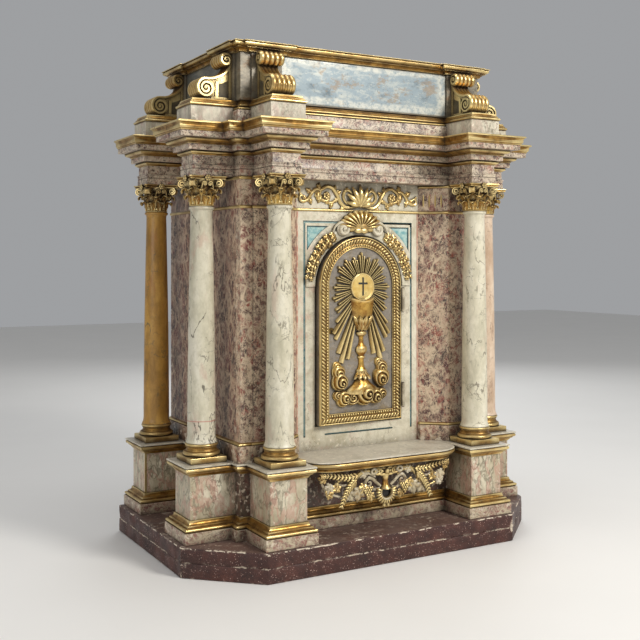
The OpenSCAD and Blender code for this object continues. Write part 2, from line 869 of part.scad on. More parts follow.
module lock_case()
    color("#4c4a48") ajar() difference() {
        box(case_x0, case_x1, door_back, door_back + case_t, case_z0, case_z1);
        box(case_x0 - 1, bolt_x0 + bolt_len + bolt_gap, bolt_y0 - bolt_gap,
            bolt_y0 + bolt_t + bolt_gap, bolt_z0 - bolt_gap, bolt_z0 + bolt_h + bolt_gap);
        keyhole(door_back - 1, door_back + 5);
    }

module escutcheon() {
    plate_r = 6.5;
    plate_t = 1.2;
    color("#c39a3e") ajar() difference() {
        relief(door_front, plate_t) translate([key_x, key_z]) circle(plate_r);
        keyhole(door_front - plate_t - 1, door_front + 1);
    }
}

module lock_bolt()
    color("#5d5a56") ajar()
        box(bolt_x0, bolt_x0 + bolt_len, bolt_y0, bolt_y0 + bolt_t, bolt_z0, bolt_z0 + bolt_h);

// ---------- drawing ----------

plinth_lower_board();
plinth_upper_board();
pedestal_base_course();
dado_front_board();
dado_side_left();
dado_side_right();
dado_back_board();
pedestals_front();
pedestals_side();
pedestal_cornice();
mensa_shelf();
shelf_carving();
column_bases_front();
column_bases_side();
column_bases_rear();
column_shaft_front_left();
column_shaft_front_right();
column_shaft_side_left();
column_shaft_side_right();
column_shaft_rear_left();
column_shaft_rear_right();
column_capital_front_left();
column_capital_front_right();
column_capital_side_left();
column_capital_side_right();
column_capital_rear_left();
column_capital_rear_right();
front_wall_left();
front_wall_right();
side_wall_left();
side_wall_right();
facade_panel();
back_panel();
niche_casing();
strike_rail();
niche_floor();
niche_back();
architrave_frieze();
cornice_bed();
cornice_corona();
attic_base();
attic_carcass();
attic_crown();
volutes_front();
volutes_side();
bay_ornament();
arch_crest();
frame_hinge_leaves();
frame_hinge_screws();
hinge_pins();
door_panel();
door_border();
door_sunburst();
door_chalice();
door_clouds();
door_hinge_leaves();
door_hinge_screws();
lock_case();
escutcheon();
lock_bolt();
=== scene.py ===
import json
from math import acos, atan2, cos, degrees, exp, pi, radians, sin, sqrt

import bmesh
import bpy
from mathutils import Matrix, Vector, noise
from mathutils.geometry import tessellate_polygon


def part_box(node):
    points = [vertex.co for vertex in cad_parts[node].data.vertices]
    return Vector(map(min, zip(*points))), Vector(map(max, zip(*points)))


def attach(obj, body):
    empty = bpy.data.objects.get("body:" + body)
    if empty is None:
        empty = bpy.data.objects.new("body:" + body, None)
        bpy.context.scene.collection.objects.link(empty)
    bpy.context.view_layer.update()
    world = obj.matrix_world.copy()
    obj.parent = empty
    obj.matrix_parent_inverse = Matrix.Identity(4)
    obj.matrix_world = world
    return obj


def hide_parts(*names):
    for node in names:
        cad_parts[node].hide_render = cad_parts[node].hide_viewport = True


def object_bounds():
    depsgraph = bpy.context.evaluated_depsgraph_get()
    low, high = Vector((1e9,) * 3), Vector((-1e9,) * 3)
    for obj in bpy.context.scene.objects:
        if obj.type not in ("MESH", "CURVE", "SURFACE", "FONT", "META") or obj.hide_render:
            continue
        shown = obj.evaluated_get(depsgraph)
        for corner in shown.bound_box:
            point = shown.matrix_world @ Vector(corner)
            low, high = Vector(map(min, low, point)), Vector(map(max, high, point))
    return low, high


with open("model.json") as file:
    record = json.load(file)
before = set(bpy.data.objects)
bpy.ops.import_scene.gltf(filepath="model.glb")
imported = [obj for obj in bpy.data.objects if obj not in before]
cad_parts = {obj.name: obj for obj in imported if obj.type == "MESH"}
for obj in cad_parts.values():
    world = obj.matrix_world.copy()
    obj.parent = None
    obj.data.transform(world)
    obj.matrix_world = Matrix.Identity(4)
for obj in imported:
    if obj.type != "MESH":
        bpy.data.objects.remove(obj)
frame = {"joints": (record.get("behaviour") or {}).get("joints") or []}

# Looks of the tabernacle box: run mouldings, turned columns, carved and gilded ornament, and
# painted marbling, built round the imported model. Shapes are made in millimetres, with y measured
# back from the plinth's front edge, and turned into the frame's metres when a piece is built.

cad_low, cad_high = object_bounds()
# Blender seeds its vector noise from the clock unless it is told a seed
noise.seed_set(7)

MM = 0.001
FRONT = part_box("plinth_lower_board")[0].y
DOOR_JOINT = next(j for j in frame["joints"] if j["name"] == "door_swing")
HINGE = Vector(DOOR_JOINT["pos_m"])
AJAR = radians(-DOOR_JOINT["range_deg"][0])


# ---------- sizes, in millimetres ----------

class Box:
    """A CAD node's box in millimetres."""

    def __init__(self, node):
        low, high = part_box(node)
        self.x0, self.x1 = low.x / MM, high.x / MM
        self.y0, self.y1 = (low.y - FRONT) / MM, (high.y - FRONT) / MM
        self.z0, self.z1 = low.z / MM, high.z / MM
        self.x, self.y = (self.x0 + self.x1) / 2, (self.y0 + self.y1) / 2


COLUMNS = [row + "_" + side for row in ("front", "side", "rear") for side in ("left", "right")]
SHAFTS = {c: Box("column_shaft_" + c) for c in COLUMNS}
CAPITALS = {c: Box("column_capital_" + c) for c in COLUMNS}
PLINTH = Box("plinth_lower_board")
PLINTH_TOP = Box("plinth_upper_board").z1
BACK = PLINTH.y1
BASE_COURSE = Box("pedestal_base_course")
DIES = Box("pedestals_front")
SHELF = Box("mensa_shelf")
FLOOR_Z = SHELF.z1
WALL_X = -Box("dado_side_left").x0
WALL_Y = Box("dado_front_board").y0
FACADE = Box("facade_panel")
BAY_X = FACADE.x1
BAY_Y = FACADE.y1 - 20
WALL_TOP = FACADE.z1
BED = Box("cornice_bed")
CORONA = Box("cornice_corona")
ATTIC_BASE = Box("attic_base")
ATTIC = Box("attic_carcass")
CROWN = Box("attic_crown")
FRONT_X, FRONT_Y = SHAFTS["front_right"].x, SHAFTS["front_right"].y
SIDE_X, SIDE_Y = SHAFTS["side_right"].x, SHAFTS["side_right"].y
REAR_Y = SHAFTS["rear_right"].y
DIE_HALF = DIES.x1 - FRONT_X
CAP_Z = CAPITALS["front_left"].z0

PLINTH_CUT_X, PLINTH_CUT_Y = 123, 113
SPLAY_X = 196
OPENING_R = 105
DOOR_R = 101.5
ARCH_Z = Box("door_panel").z1 - DOOR_R
DOOR_Z = Box("door_panel").z0
DOOR_Y = BAY_Y - 1
NICHE_Z = Box("niche_floor").z1
ARCHITRAVE_HALF = 31
ATTIC_X, ATTIC_Y = ATTIC.x1 - 4, ATTIC.y0 + 4
HOST_Z = 528

SAME_POINT = 0.02
WOBBLE_SCALE = 45


# ---------- mesh helpers ----------

class Shape:
    """Vertices, faces and material numbers of one piece."""

    def __init__(self):
        self.verts, self.faces, self.mats = [], [], []

    def add(self, verts, faces, mat=0, place=None):
        base = len(self.verts)
        self.verts += [place @ Vector(v) for v in verts] if place else [Vector(v) for v in verts]
        self.faces += [[base + i for i in face] for face in faces]
        self.mats += [mat] * len(faces)

    def grid(self, rows, wrap=False, loop=False, caps=False, mat=0, place=None):
        """Quads between rows of points. wrap joins each row's ends, loop joins the last row to
        the first, and caps closes the first and last rows."""
        n, m = len(rows), len(rows[0])
        faces = []
        for i in range(n if loop else n - 1):
            for j in range(m if wrap else m - 1):
                k, l = (i + 1) % n, (j + 1) % m
                faces.append((i * m + j, i * m + l, k * m + l, k * m + j))
        if caps:
            faces += [tuple(range(m)), tuple((n - 1) * m + j for j in range(m))]
        self.add([p for row in rows for p in row], faces, mat, place)


def to_frame(v):
    return Vector((v.x * MM, FRONT + v.y * MM, v.z * MM))


def build(shape, name, body, materials, wobble=0.12, sharp=38, pick=None):
    """Makes the piece that stands for the CAD node of its name: merges its points, wobbles them by
    a hand's unevenness, sets its finish and puts it on its body. pick may choose a face's material
    from its centre."""
    mesh = bpy.data.meshes.new(name)
    mesh.from_pydata([to_frame(v) for v in shape.verts], [], shape.faces)
    mesh.polygons.foreach_set("material_index", shape.mats)
    for material in materials:
        mesh.materials.append(material)
    bm = bmesh.new()
    bm.from_mesh(mesh)
    bmesh.ops.remove_doubles(bm, verts=bm.verts, dist=SAME_POINT * MM)
    bmesh.ops.dissolve_degenerate(bm, edges=bm.edges, dist=0.01 * MM)
    if wobble:
        for v in bm.verts:
            v.co += noise.noise_vector(v.co * WOBBLE_SCALE) * wobble * MM
    if body == "cabinet":
        for v in bm.verts:
            v.co = Vector([min(max(c, a), b) for c, a, b in zip(v.co, cad_low, cad_high)])
    bmesh.ops.recalc_face_normals(bm, faces=bm.faces)
    if pick:
        for face in bm.faces:
            c = face.calc_center_median()
            centre = Vector((c.x / MM, (c.y - FRONT) / MM, c.z / MM))
            face.material_index = pick(centre, face.material_index)
    if body == "door":
        turn = Matrix.Rotation(AJAR, 4, "Z")
        bmesh.ops.transform(bm, matrix=Matrix.Translation(HINGE) @ turn
                            @ Matrix.Translation(-HINGE), verts=bm.verts)
    bm.to_mesh(mesh)
    bm.free()
    mesh.shade_smooth()
    mesh.set_sharp_from_angle(angle=radians(sharp))
    piece = bpy.data.objects.new(name, mesh)
    bpy.context.scene.collection.objects.link(piece)
    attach(piece, body)
    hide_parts(name)


def around(count):
    """Evenly spaced angles round a circle."""
    return [2 * pi * k / count for k in range(count)]


def arc(cx, cy, rx, ry, a0, a1, n):
    return [(cx + rx * cos(radians(a0 + (a1 - a0) * i / n)),
             cy + ry * sin(radians(a0 + (a1 - a0) * i / n))) for i in range(n + 1)]


def curve(points, steps=6):
    """A smooth line through the points."""
    pts = [Vector(p) for p in points]
    pts = [2 * pts[0] - pts[1]] + pts + [2 * pts[-1] - pts[-2]]
    line = []
    for a, b, c, d in zip(pts, pts[1:], pts[2:], pts[3:]):
        for i in range(steps):
            t = i / steps
            line.append(0.5 * (2 * b + (c - a) * t + (2 * a - 5 * b + 4 * c - d) * t ** 2
                               + (3 * b - a - 3 * c + d) * t ** 3))
    return line + [pts[-2]]


def spiral(cx, cy, r0, r1, a0, turns, steps=14):
    """A flat spiral whose radius runs from r0 to r1; negative turns run clockwise."""
    n = max(6, round(abs(turns) * steps))
    return [(cx + (r0 + (r1 - r0) * i / n) * cos(radians(a0 + 360 * turns * i / n)),
             cy + (r0 + (r1 - r0) * i / n) * sin(radians(a0 + 360 * turns * i / n)))
            for i in range(n + 1)]


def tube(shape, path, radius, sides=8, flat=1.0, face=(0, -1, 0), mat=0):
    """A rounded rod along a path. radius may be a function of the share of the way along; flat
    scales it towards face."""
    path = [Vector(p) for p in path]
    face = Vector(face)
    rows = []
    for i, p in enumerate(path):
        t = i / (len(path) - 1)
        along = (path[min(i + 1, len(path) - 1)] - path[max(i - 1, 0)]).normalized()
        side = along.cross(face).normalized()
        out = side.cross(along).normalized()
        r = radius(t) if callable(radius) else radius
        rows.append([p + side * r * cos(a) + out * r * flat * sin(a)
                     for a in around(sides)])
    shape.grid(rows, wrap=True, caps=True, mat=mat)


def lathe(shape, profile, x, y, sides=48, mat=0):
    """A turned form about the upright axis at x, y."""
    rows = []
    for r, z in profile:
        rows.append([(x + r * cos(a), y + r * sin(a), z) for a in around(sides)])
    shape.grid(rows, wrap=True, caps=True, mat=mat)


def blob(shape, place, rx, ry, rz, sides=8, rings=5, mat=0):
    """A rounded bead, grain or berry."""
    rows = []
    for i in range(1, rings):
        b = pi * i / rings
        rows.append([(rx * sin(b) * cos(a), ry * sin(b) * sin(a),
                      rz * cos(b)) for a in around(sides)])
    n = len(rows)
    verts = [p for row in rows for p in row] + [(0, 0, rz), (0, 0, -rz)]
    faces = []
    for k in range(sides):
        l = (k + 1) % sides
        faces.append((n * sides, k, l))
        faces.append((n * sides + 1, (n - 1) * sides + l, (n - 1) * sides + k))
        faces += [(i * sides + k, (i + 1) * sides + k, (i + 1) * sides + l, i * sides + l)
                  for i in range(n - 1)]
    shape.add(verts, faces, mat, place)


def leaf(shape, place, length, width, start=0.1, bend=0.6, lobes=3, depth=0.22, thick=1.4,
         n=12, m=4, mat=0, power=2, blunt=0.0):
    """A carved leaf from the origin along local x, facing local z, with a lobed edge, a midrib and
    a tip that bends by the angle bend, the more suddenly the higher power is. blunt rounds the
    tip."""
    rows = []
    x = z = 0.0
    for i in range(n + 1):
        u = i / n
        angle = start + bend * u ** power
        if i:
            x += cos(angle) * length / n
            z += sin(angle) * length / n
        body = sin(pi * min(0.98, 0.12 + 0.86 * u) ** 0.9) ** 0.7
        body += blunt * (min(1.0, 5.5 * (1 - u)) ** 0.5 * min(1.0, 0.7 + u) - body)
        half = width / 2 * body * (1 + depth * cos(2 * pi * lobes * u + pi))
        up = Vector((-sin(angle), 0, cos(angle)))
        row, under = [], []
        for j in range(-m, m + 1):
            v = j / m
            rib = 0.10 * width * (1 - abs(v)) ** 2 + 0.035 * width * cos(abs(v) * 9 - u * 5)
            droop = -0.16 * width * v * v
            p = Vector((x - 0.12 * length * abs(v) * (1 - u), v * half, z)) + up * (rib + droop)
            row.append(p)
            under.append(p - up * thick * (1 - 0.7 * abs(v)))
        rows.append(row + under[::-1])
    shape.grid(rows, wrap=True, caps=True, mat=mat, place=place)


def put(x, y, z):
    return Matrix.Translation((x, y, z))


def facing(heading):
    """The outward and sideways directions at a heading."""
    out = Vector((cos(heading), sin(heading), 0))
    return out, Vector((-out.y, out.x, 0))


def ribbon(line):
    """Each point of a flat line with the unit normal on its left."""
    for i, p in enumerate(line):
        a, b = line[max(i - 1, 0)], line[min(i + 1, len(line) - 1)]
        d = Vector((b[0] - a[0], b[1] - a[1])).normalized()
        yield p[0], p[1], -d.y, d.x


def relief_place(x, y, z, turn=0.0):
    """Puts local x, y, z on the wall plane: x runs at the angle turn from +X towards +Z, and z
    faces the viewer."""
    base = Matrix(((1, 0, 0), (0, 0, -1), (0, 1, 0))).to_4x4()
    return put(x, y, z) @ base @ Matrix.Rotation(radians(turn), 4, "Z")


def upright_place(x, y, z, heading):
    """Puts local x upwards and local z outwards at a heading round the axis at x, y."""
    base = Matrix(((0, 0, 1), (0, 1, 0), (1, 0, 0))).to_4x4()
    return put(x, y, z) @ Matrix.Rotation(heading, 4, "Z") @ base


def sided(s, points):
    """Points of the right side, on side s: 1 keeps them and -1 mirrors them."""
    return [(s * p[0], *p[1:]) for p in points]


def mirrored(points):
    return sided(-1, points)


def way(s, turn):
    """An angle on the wall plane of the right side, on side s."""
    return turn if s > 0 else 180 - turn


def run_counts(outline, pitch):
    """How many steps each edge of a closed plan is divided into."""
    return [max(1, round((Vector(b) - Vector(a)).length / pitch))
            for a, b in zip(outline, outline[1:] + outline[:1])]


def mitres(outline, fixed=None):
    """For each corner, how far it moves when every edge moves out by 1. fixed(a, b) names edges
    that stay where they are. The plan runs anticlockwise."""
    pts = [Vector(p) for p in outline]
    count = len(pts)
    normals, weights = [], []
    for i in range(count):
        a, b = pts[i], pts[(i + 1) % count]
        d = (b - a).normalized()
        normals.append(Vector((d.y, -d.x)))
        weights.append(0.0 if fixed and fixed(a, b) else 1.0)
    moves = []
    for i in range(count):
        n1, n2, w1, w2 = normals[i - 1], normals[i], weights[i - 1], weights[i]
        cross = n1.x * n2.y - n1.y * n2.x
        if abs(cross) < 1e-3:
            moves.append(n2 * max(w1, w2) if w1 == w2 else n2 * w2)
        else:
            moves.append(Vector(((w1 * n2.y - w2 * n1.y) / cross, (w2 * n1.x - w1 * n2.x) / cross)))
    return moves


def course(shape, outline, profile, fixed=None, pitch=14, back=None):
    """Runs a moulding round a closed plan. profile is a list of (out, z, material) from the bottom
    up; a material applies to the face that starts there. Nothing passes the plane y = back."""
    moves, counts = mitres(outline, fixed), run_counts(outline, pitch)
    rows = []
    for out, z, _ in profile:
        corners = []
        for p, d in zip(outline, moves):
            y = p[1] + d.y * out
            corners.append(Vector((p[0] + d.x * out, min(y, back) if back is not None else y, z)))
        rows.append([a.lerp(b, i / n) for a, b, n in zip(corners, corners[1:] + corners[:1], counts)
                     for i in range(n)])
    m = len(rows[0])
    base = len(shape.verts)
    shape.verts += [p for row in rows for p in row]
    for i in range(len(rows) - 1):
        for j in range(m):
            l = (j + 1) % m
            shape.faces.append([base + i * m + j, base + i * m + l,
                                base + (i + 1) * m + l, base + (i + 1) * m + j])
            shape.mats.append(profile[i][2])
    for row, at, mat in ((rows[0], 0, profile[0][2]), (rows[-1], len(rows) - 1, profile[-1][2])):
        used = [k for k in range(m) if (row[k] - row[k - 1]).length > SAME_POINT]
        flat = [Vector((row[k].x, row[k].y, 0)) for k in used]
        for tri in tessellate_polygon([flat]):
            shape.faces.append([base + at * m + used[k] for k in tri])
            shape.mats.append(mat)


def plate(shape, outlines, y0, y1, mat=0, edge=None):
    """A flat board between y0 in front and y1 behind. The first outline, of (x, z) points, is its
    edge and the others are holes."""
    flat = [[Vector((x, z, 0)) for x, z in line] for line in outlines]
    points = [p for line in flat for p in line]
    tris = tessellate_polygon(flat)
    n = len(points)
    edge = mat if edge is None else edge
    shape.add([(p.x, y0, p.y) for p in points] + [(p.x, y1, p.y) for p in points],
              [tuple(t) for t in tris] + [tuple(n + k for k in t) for t in tris], mat)
    base, start = len(shape.verts) - 2 * n, 0
    for line in flat:
        for j in range(len(line)):
            a, b = base + start + j, base + start + (j + 1) % len(line)
            shape.faces.append([a, b, b + n, a + n])
            shape.mats.append(edge)
        start += len(line)


def rect(x0, x1, z0, z1, step=20):
    corners = [Vector(c) for c in ((x0, z0), (x1, z0), (x1, z1), (x0, z1))]
    return [tuple(a.lerp(b, i / n)) for a, b, n in
            zip(corners, corners[1:] + corners[:1], run_counts(corners, step)) for i in range(n)]


def arched(r, z0):
    """A round-headed outline standing on z0, about the arch's centre, anticlockwise."""
    wide, rise = 16, 24
    floor = [(-r + 2 * r * i / wide, z0) for i in range(wide)]
    up = [(r, z0 + (ARCH_Z - z0) * i / rise) for i in range(rise)]
    down = [(-r, ARCH_Z + (z0 - ARCH_Z) * i / rise) for i in range(1, rise)]
    return floor + up + arc(0, ARCH_Z, r, r, 0, 180, 40) + down


def along(outline, spacing):
    """Evenly spaced points and headings, in degrees, round a closed outline."""
    pts = [Vector(p) for p in outline]
    edges = list(zip(pts, pts[1:] + pts[:1]))
    total = sum((b - a).length for a, b in edges)
    count = round(total / spacing)
    found, walked, k = [], 0.0, 0
    for a, b in edges:
        run = (b - a).length
        while k < count and k * total / count < walked + run:
            t = (k * total / count - walked) / run
            d = b - a
            found.append((a.lerp(b, t), degrees(atan2(d.y, d.x))))
            k += 1
        walked += run
    return found


# ---------- materials ----------

def rgb(code):
    """A colour as written in #rrggbb, in linear light."""
    channels = [int(code[i:i + 2], 16) / 255 for i in (1, 3, 5)]
    return tuple(c / 12.92 if c < 0.04045 else ((c + 0.055) / 1.055) ** 2.4
                 for c in channels) + (1,)


class Paint:
    """One node material on a Principled shader, placed by object coordinates in metres."""

    def __init__(self, name):
        self.material = bpy.data.materials.new(name)
        self.material.use_nodes = True
        self.tree = self.material.node_tree
        self.shader = self.tree.nodes["Principled BSDF"]
        self.place = self.node("TexCoord").outputs["Object"]

    def node(self, kind, **settings):
        made = self.tree.nodes.new("ShaderNode" + kind)
        for key, value in settings.items():
            setattr(made, key, value)
        return made

    def feed(self, socket, value):
        if isinstance(value, bpy.types.NodeSocket):
            self.tree.links.new(value, socket)
        elif isinstance(value, str):
            socket.default_value = rgb(value)
        else:
            socket.default_value = value

    def noise(self, scale, detail=4.0, rough=0.55, at=None):
        made = self.node("TexNoise")
        self.feed(made.inputs["Vector"], at or self.place)
        for key, value in (("Scale", scale), ("Detail", detail), ("Roughness", rough)):
            made.inputs[key].default_value = value
        return made

    def fac(self, *settings):
        return self.noise(*settings).outputs["Fac"]

    def cells(self, scale, feature="F1", at=None):
        made = self.node("TexVoronoi", feature=feature)
        self.feed(made.inputs["Vector"], at or self.place)
        made.inputs["Scale"].default_value = scale
        return made

    def math(self, operation, a, b=0.0, clamp=False):
        made = self.node("Math", operation=operation, use_clamp=clamp)
        self.feed(made.inputs[0], a)
        self.feed(made.inputs[1], b)
        return made.outputs[0]

    def times(self, a, b, clamp=False):
        return self.math("MULTIPLY", a, b, clamp)

    def most(self, a, b):
        return self.math("MAXIMUM", a, b)

    def away(self, value, level):
        """How far a value is from a level."""
        return self.math("ABSOLUTE", self.math("SUBTRACT", value, level))

    def band(self, value, low, high, out0=0.0, out1=1.0):
        made = self.node("MapRange", interpolation_type="SMOOTHSTEP")
        self.feed(made.inputs["Value"], value)
        for key, number in (("From Min", low), ("From Max", high), ("To Min", out0),
                            ("To Max", out1)):
            made.inputs[key].default_value = number
        return made.outputs[0]

    def mix(self, share, a, b):
        made = self.node("Mix", data_type="RGBA")
        self.feed(made.inputs[0], share)
        self.feed(made.inputs[6], a)
        self.feed(made.inputs[7], b)
        return made.outputs[2]

    def ramp(self, value, *stops, steps=False):
        made = self.node("ValToRGB")
        made.color_ramp.interpolation = "CONSTANT" if steps else "LINEAR"
        points = made.color_ramp.elements
        while len(points) < len(stops):
            points.new(0.5)
        for point, (at, colour) in zip(points, stops):
            point.position = at
            point.color = rgb(colour)
        self.feed(made.inputs[0], value)
        return made.outputs[0]

    def scaled(self, x, y, z, at=None):
        made = self.node("Mapping")
        self.feed(made.inputs["Vector"], at or self.place)
        made.inputs["Scale"].default_value = (x, y, z)
        return made.outputs[0]

    def warped(self, amount, scale, at=None):
        """Coordinates pushed about by noise, up to amount metres."""
        swirl = self.noise(scale, 3.0, 0.5, at)
        less = self.node("VectorMath", operation="SUBTRACT")
        self.feed(less.inputs[0], swirl.outputs["Color"])
        less.inputs[1].default_value = (0.5, 0.5, 0.5)
        more = self.node("VectorMath", operation="SCALE")
        self.feed(more.inputs[0], less.outputs[0])
        more.inputs["Scale"].default_value = 2 * amount
        made = self.node("VectorMath", operation="ADD")
        self.feed(made.inputs[0], at or self.place)
        self.feed(made.inputs[1], more.outputs[0])
        return made.outputs[0]

    def vein(self, scale, width, at=None, detail=3.0, seed=0.0):
        """Thin winding lines: 1 on the line, falling to 0 at width."""
        if seed:
            moved = self.node("VectorMath", operation="ADD")
            self.feed(moved.inputs[0], at or self.place)
            moved.inputs[1].default_value = (seed, seed * 0.7, seed * 0.3)
            at = moved.outputs[0]
        away = self.away(self.fac(scale, detail, 0.55, at), 0.5)
        return self.band(away, 0.3 * width, width, 1.0, 0.0)

    def ridge(self, low=0.515, high=0.56):
        return self.band(self.node("NewGeometry").outputs["Pointiness"], low, high)

    def hollow(self, distance, low, high):
        """1 deep in a recess, 0 in the open, by ambient occlusion: the mask of the painted shade in
        hollows.
        """
        made = self.node("AmbientOcclusion", samples=6)
        made.inputs["Distance"].default_value = distance
        return self.band(made.outputs["AO"], low, high, 1.0, 0.0)

    def upward(self):
        """1 on faces that look up, where dust lies."""
        split = self.node("SeparateXYZ")
        self.feed(split.inputs[0], self.node("NewGeometry").outputs["Normal"])
        return self.band(split.outputs["Z"], 0.7, 0.95)

    def age(self, colour, hollow_shade=None, dust=None, chip=None):
        """A colour with painted shade in the hollows, dust on what looks up and chips on the edges. The
        second argument is the distance, bounds, strength and colour of the painted shade, the third
        the strength and colour of the dust, and the fourth the bounds on the ridge, the noise's scale
        and bounds, and the colour of the chips."""
        if hollow_shade:
            # Painted shade: the colour darkens towards tint where ambient occlusion finds a recess
            *bounds, strength, tint = hollow_shade
            colour = self.mix(self.times(self.hollow(*bounds), strength), colour, tint)
        if dust:
            colour = self.mix(self.times(self.upward(), dust[0]), colour, dust[1])
        if chip:
            low, high, scale, *bounds, tint = chip
            knocked = self.times(self.ridge(low, high), self.band(self.fac(scale, 5), *bounds))
            colour = self.mix(self.times(knocked, 0.7), colour, tint)
        return colour

    def done(self, colour, rough, metal=0.0, height=None, strength=0.3, depth=0.0006, coat=0.0):
        self.feed(self.shader.inputs["Base Color"], colour)
        self.feed(self.shader.inputs["Roughness"], rough)
        self.feed(self.shader.inputs["Metallic"], metal)
        self.feed(self.shader.inputs["Coat Weight"], coat)
        self.shader.inputs["Coat Roughness"].default_value = 0.3
        if height is not None:
            bump = self.node("Bump")
            bump.inputs["Strength"].default_value = strength
            bump.inputs["Distance"].default_value = depth
            self.feed(bump.inputs["Height"], height)
            self.feed(self.shader.inputs["Normal"], bump.outputs[0])
        return self.material


def gilding(name, bright="#dab05a", deep="#94642a", wear=0.5, lean=0.0):
    """Water gilding over bole, with a painted highlight on the ridges and brown painted shade in the
    hollows, rubbed in patches. lean takes away some of the metal's shine."""
    p = Paint(name)
    tone = p.fac(46, 5, 0.62)
    gold = p.mix(p.band(tone, 0.36, 0.62), deep, bright)
    # Painted highlight: pale gold on the sharp ridges
    gold = p.mix(p.times(p.ridge(0.505, 0.55), 0.8), gold, "#f6e0a2")
    rubbed = p.times(p.band(p.fac(120, 6, 0.7), 0.70 - 0.16 * wear, 0.78),
                    0.85, True)
    gold = p.mix(rubbed, gold, "#5e3520")
    chalk = p.times(p.band(p.fac(70, 7, 0.75, p.scaled(1.3, 0.9, 1.1)),
                                      0.67, 0.73), wear, True)
    gold = p.mix(chalk, gold, "#c9bea2")
    dull = p.times(p.band(p.fac(16, 4, 0.6), 0.46, 0.66), 0.3 + 0.4 * wear)
    gold = p.mix(dull, gold, "#967238")
    # Painted shade: dark brown deep in the hollows, where the gold also loses its shine
    hollow_shade = p.times(p.hollow(0.014, 0.45, 0.98), 0.92)
    colour = p.mix(hollow_shade, gold, "#2c1a0c")
    bare = p.most(p.most(rubbed, chalk), hollow_shade)
    rough = p.math("ADD", p.band(tone, 0.3, 0.7, 0.42, 0.27), p.times(bare, 0.35))
    metal = p.math("SUBTRACT", 0.85 - lean, p.times(bare, 0.75), True)
    return p.done(colour, rough, metal, p.fac(420, 4, 0.6), 0.25, 0.0005)


def breccia(name, tones, vein, scale, tall, dark=0.0, dust=0.4, worms=0.5):
    """Painted breccia: small blotches of several tones, wound round by pale and dark veins."""
    p = Paint(name)
    at = p.warped(0.012, 46, p.scaled(1, 1, tall))
    fine_at = p.warped(0.006, 110, p.scaled(1, 1, tall))
    big, small = p.cells(scale, at=at), p.cells(scale * 2.6, at=fine_at)
    stops = [(i / len(tones), tone) for i, tone in enumerate(tones)]
    blotches = []
    for found in (big, small):
        split = p.node("SeparateColor")
        p.feed(split.inputs[0], found.outputs["Color"])
        blotches.append(p.ramp(split.outputs[0], *stops, steps=True))
    patch = p.band(p.fac(38, 5, 0.65), 0.44, 0.56)
    stone = p.mix(patch, *blotches)
    swirl = p.ramp(p.fac(62, 7, 0.72, at), (0.38, tones[1]), (0.45, tones[0]),
                   (0.50, tones[2]), (0.55, tones[4]), (0.62, tones[5]))
    stone = p.mix(0.3, stone, swirl)
    gloom = p.band(p.fac(21, 4, 0.62, p.scaled(1, 1, tall)), 0.45, 0.62, 0.0, 0.5)
    stone = p.mix(gloom, stone, tones[1])
    edge = p.band(p.cells(scale, "DISTANCE_TO_EDGE", at).outputs["Distance"], 0.03, 0.15, 1.0, 0.0)
    curl = p.vein(48, 0.040, p.warped(0.014, 60, p.scaled(1, 1, tall)), 4)
    lace = p.vein(120, 0.05, fine_at, 3, 4.0)
    lines = p.most(p.times(edge, p.band(p.fac(34), 0.40, 0.56)),
                   p.most(p.times(curl, 0.85), p.times(lace, 0.5)))
    stone = p.mix(p.times(lines, 0.92), stone, vein)
    thread = p.times(p.vein(64, 0.022, p.warped(0.012, 70, p.scaled(1, 1, tall)), 4, 9.0),
                    p.band(p.fac(28, 3), 0.42, 0.55))
    speck = p.band(p.fac(240, 4, 0.65), 0.60, 0.66)
    dots = p.times(p.most(thread, speck), worms)
    stone = p.mix(dots, stone, "#2f2729")
    # dark draws the whole stone towards near black: a deeper tone on the entablature and the base, and
    # painted shade on the side walls and the dado under the shelf
    stone = p.mix(dark, stone, "#1f1716")
    # The second argument paints shade into the hollows
    stone = p.age(stone, (0.03, 0.3, 0.97, 0.7, "#2b1f19"), (dust, "#9b9184"),
                  (0.53, 0.58, 90, 0.55, 0.62, "#d8cbb6"))
    return p.done(stone, p.band(p.fac(24), 0.3, 0.7, 0.36, 0.55), 0.0,
                  p.fac(260, 5, 0.6), 0.16, 0.0005, 0.12)


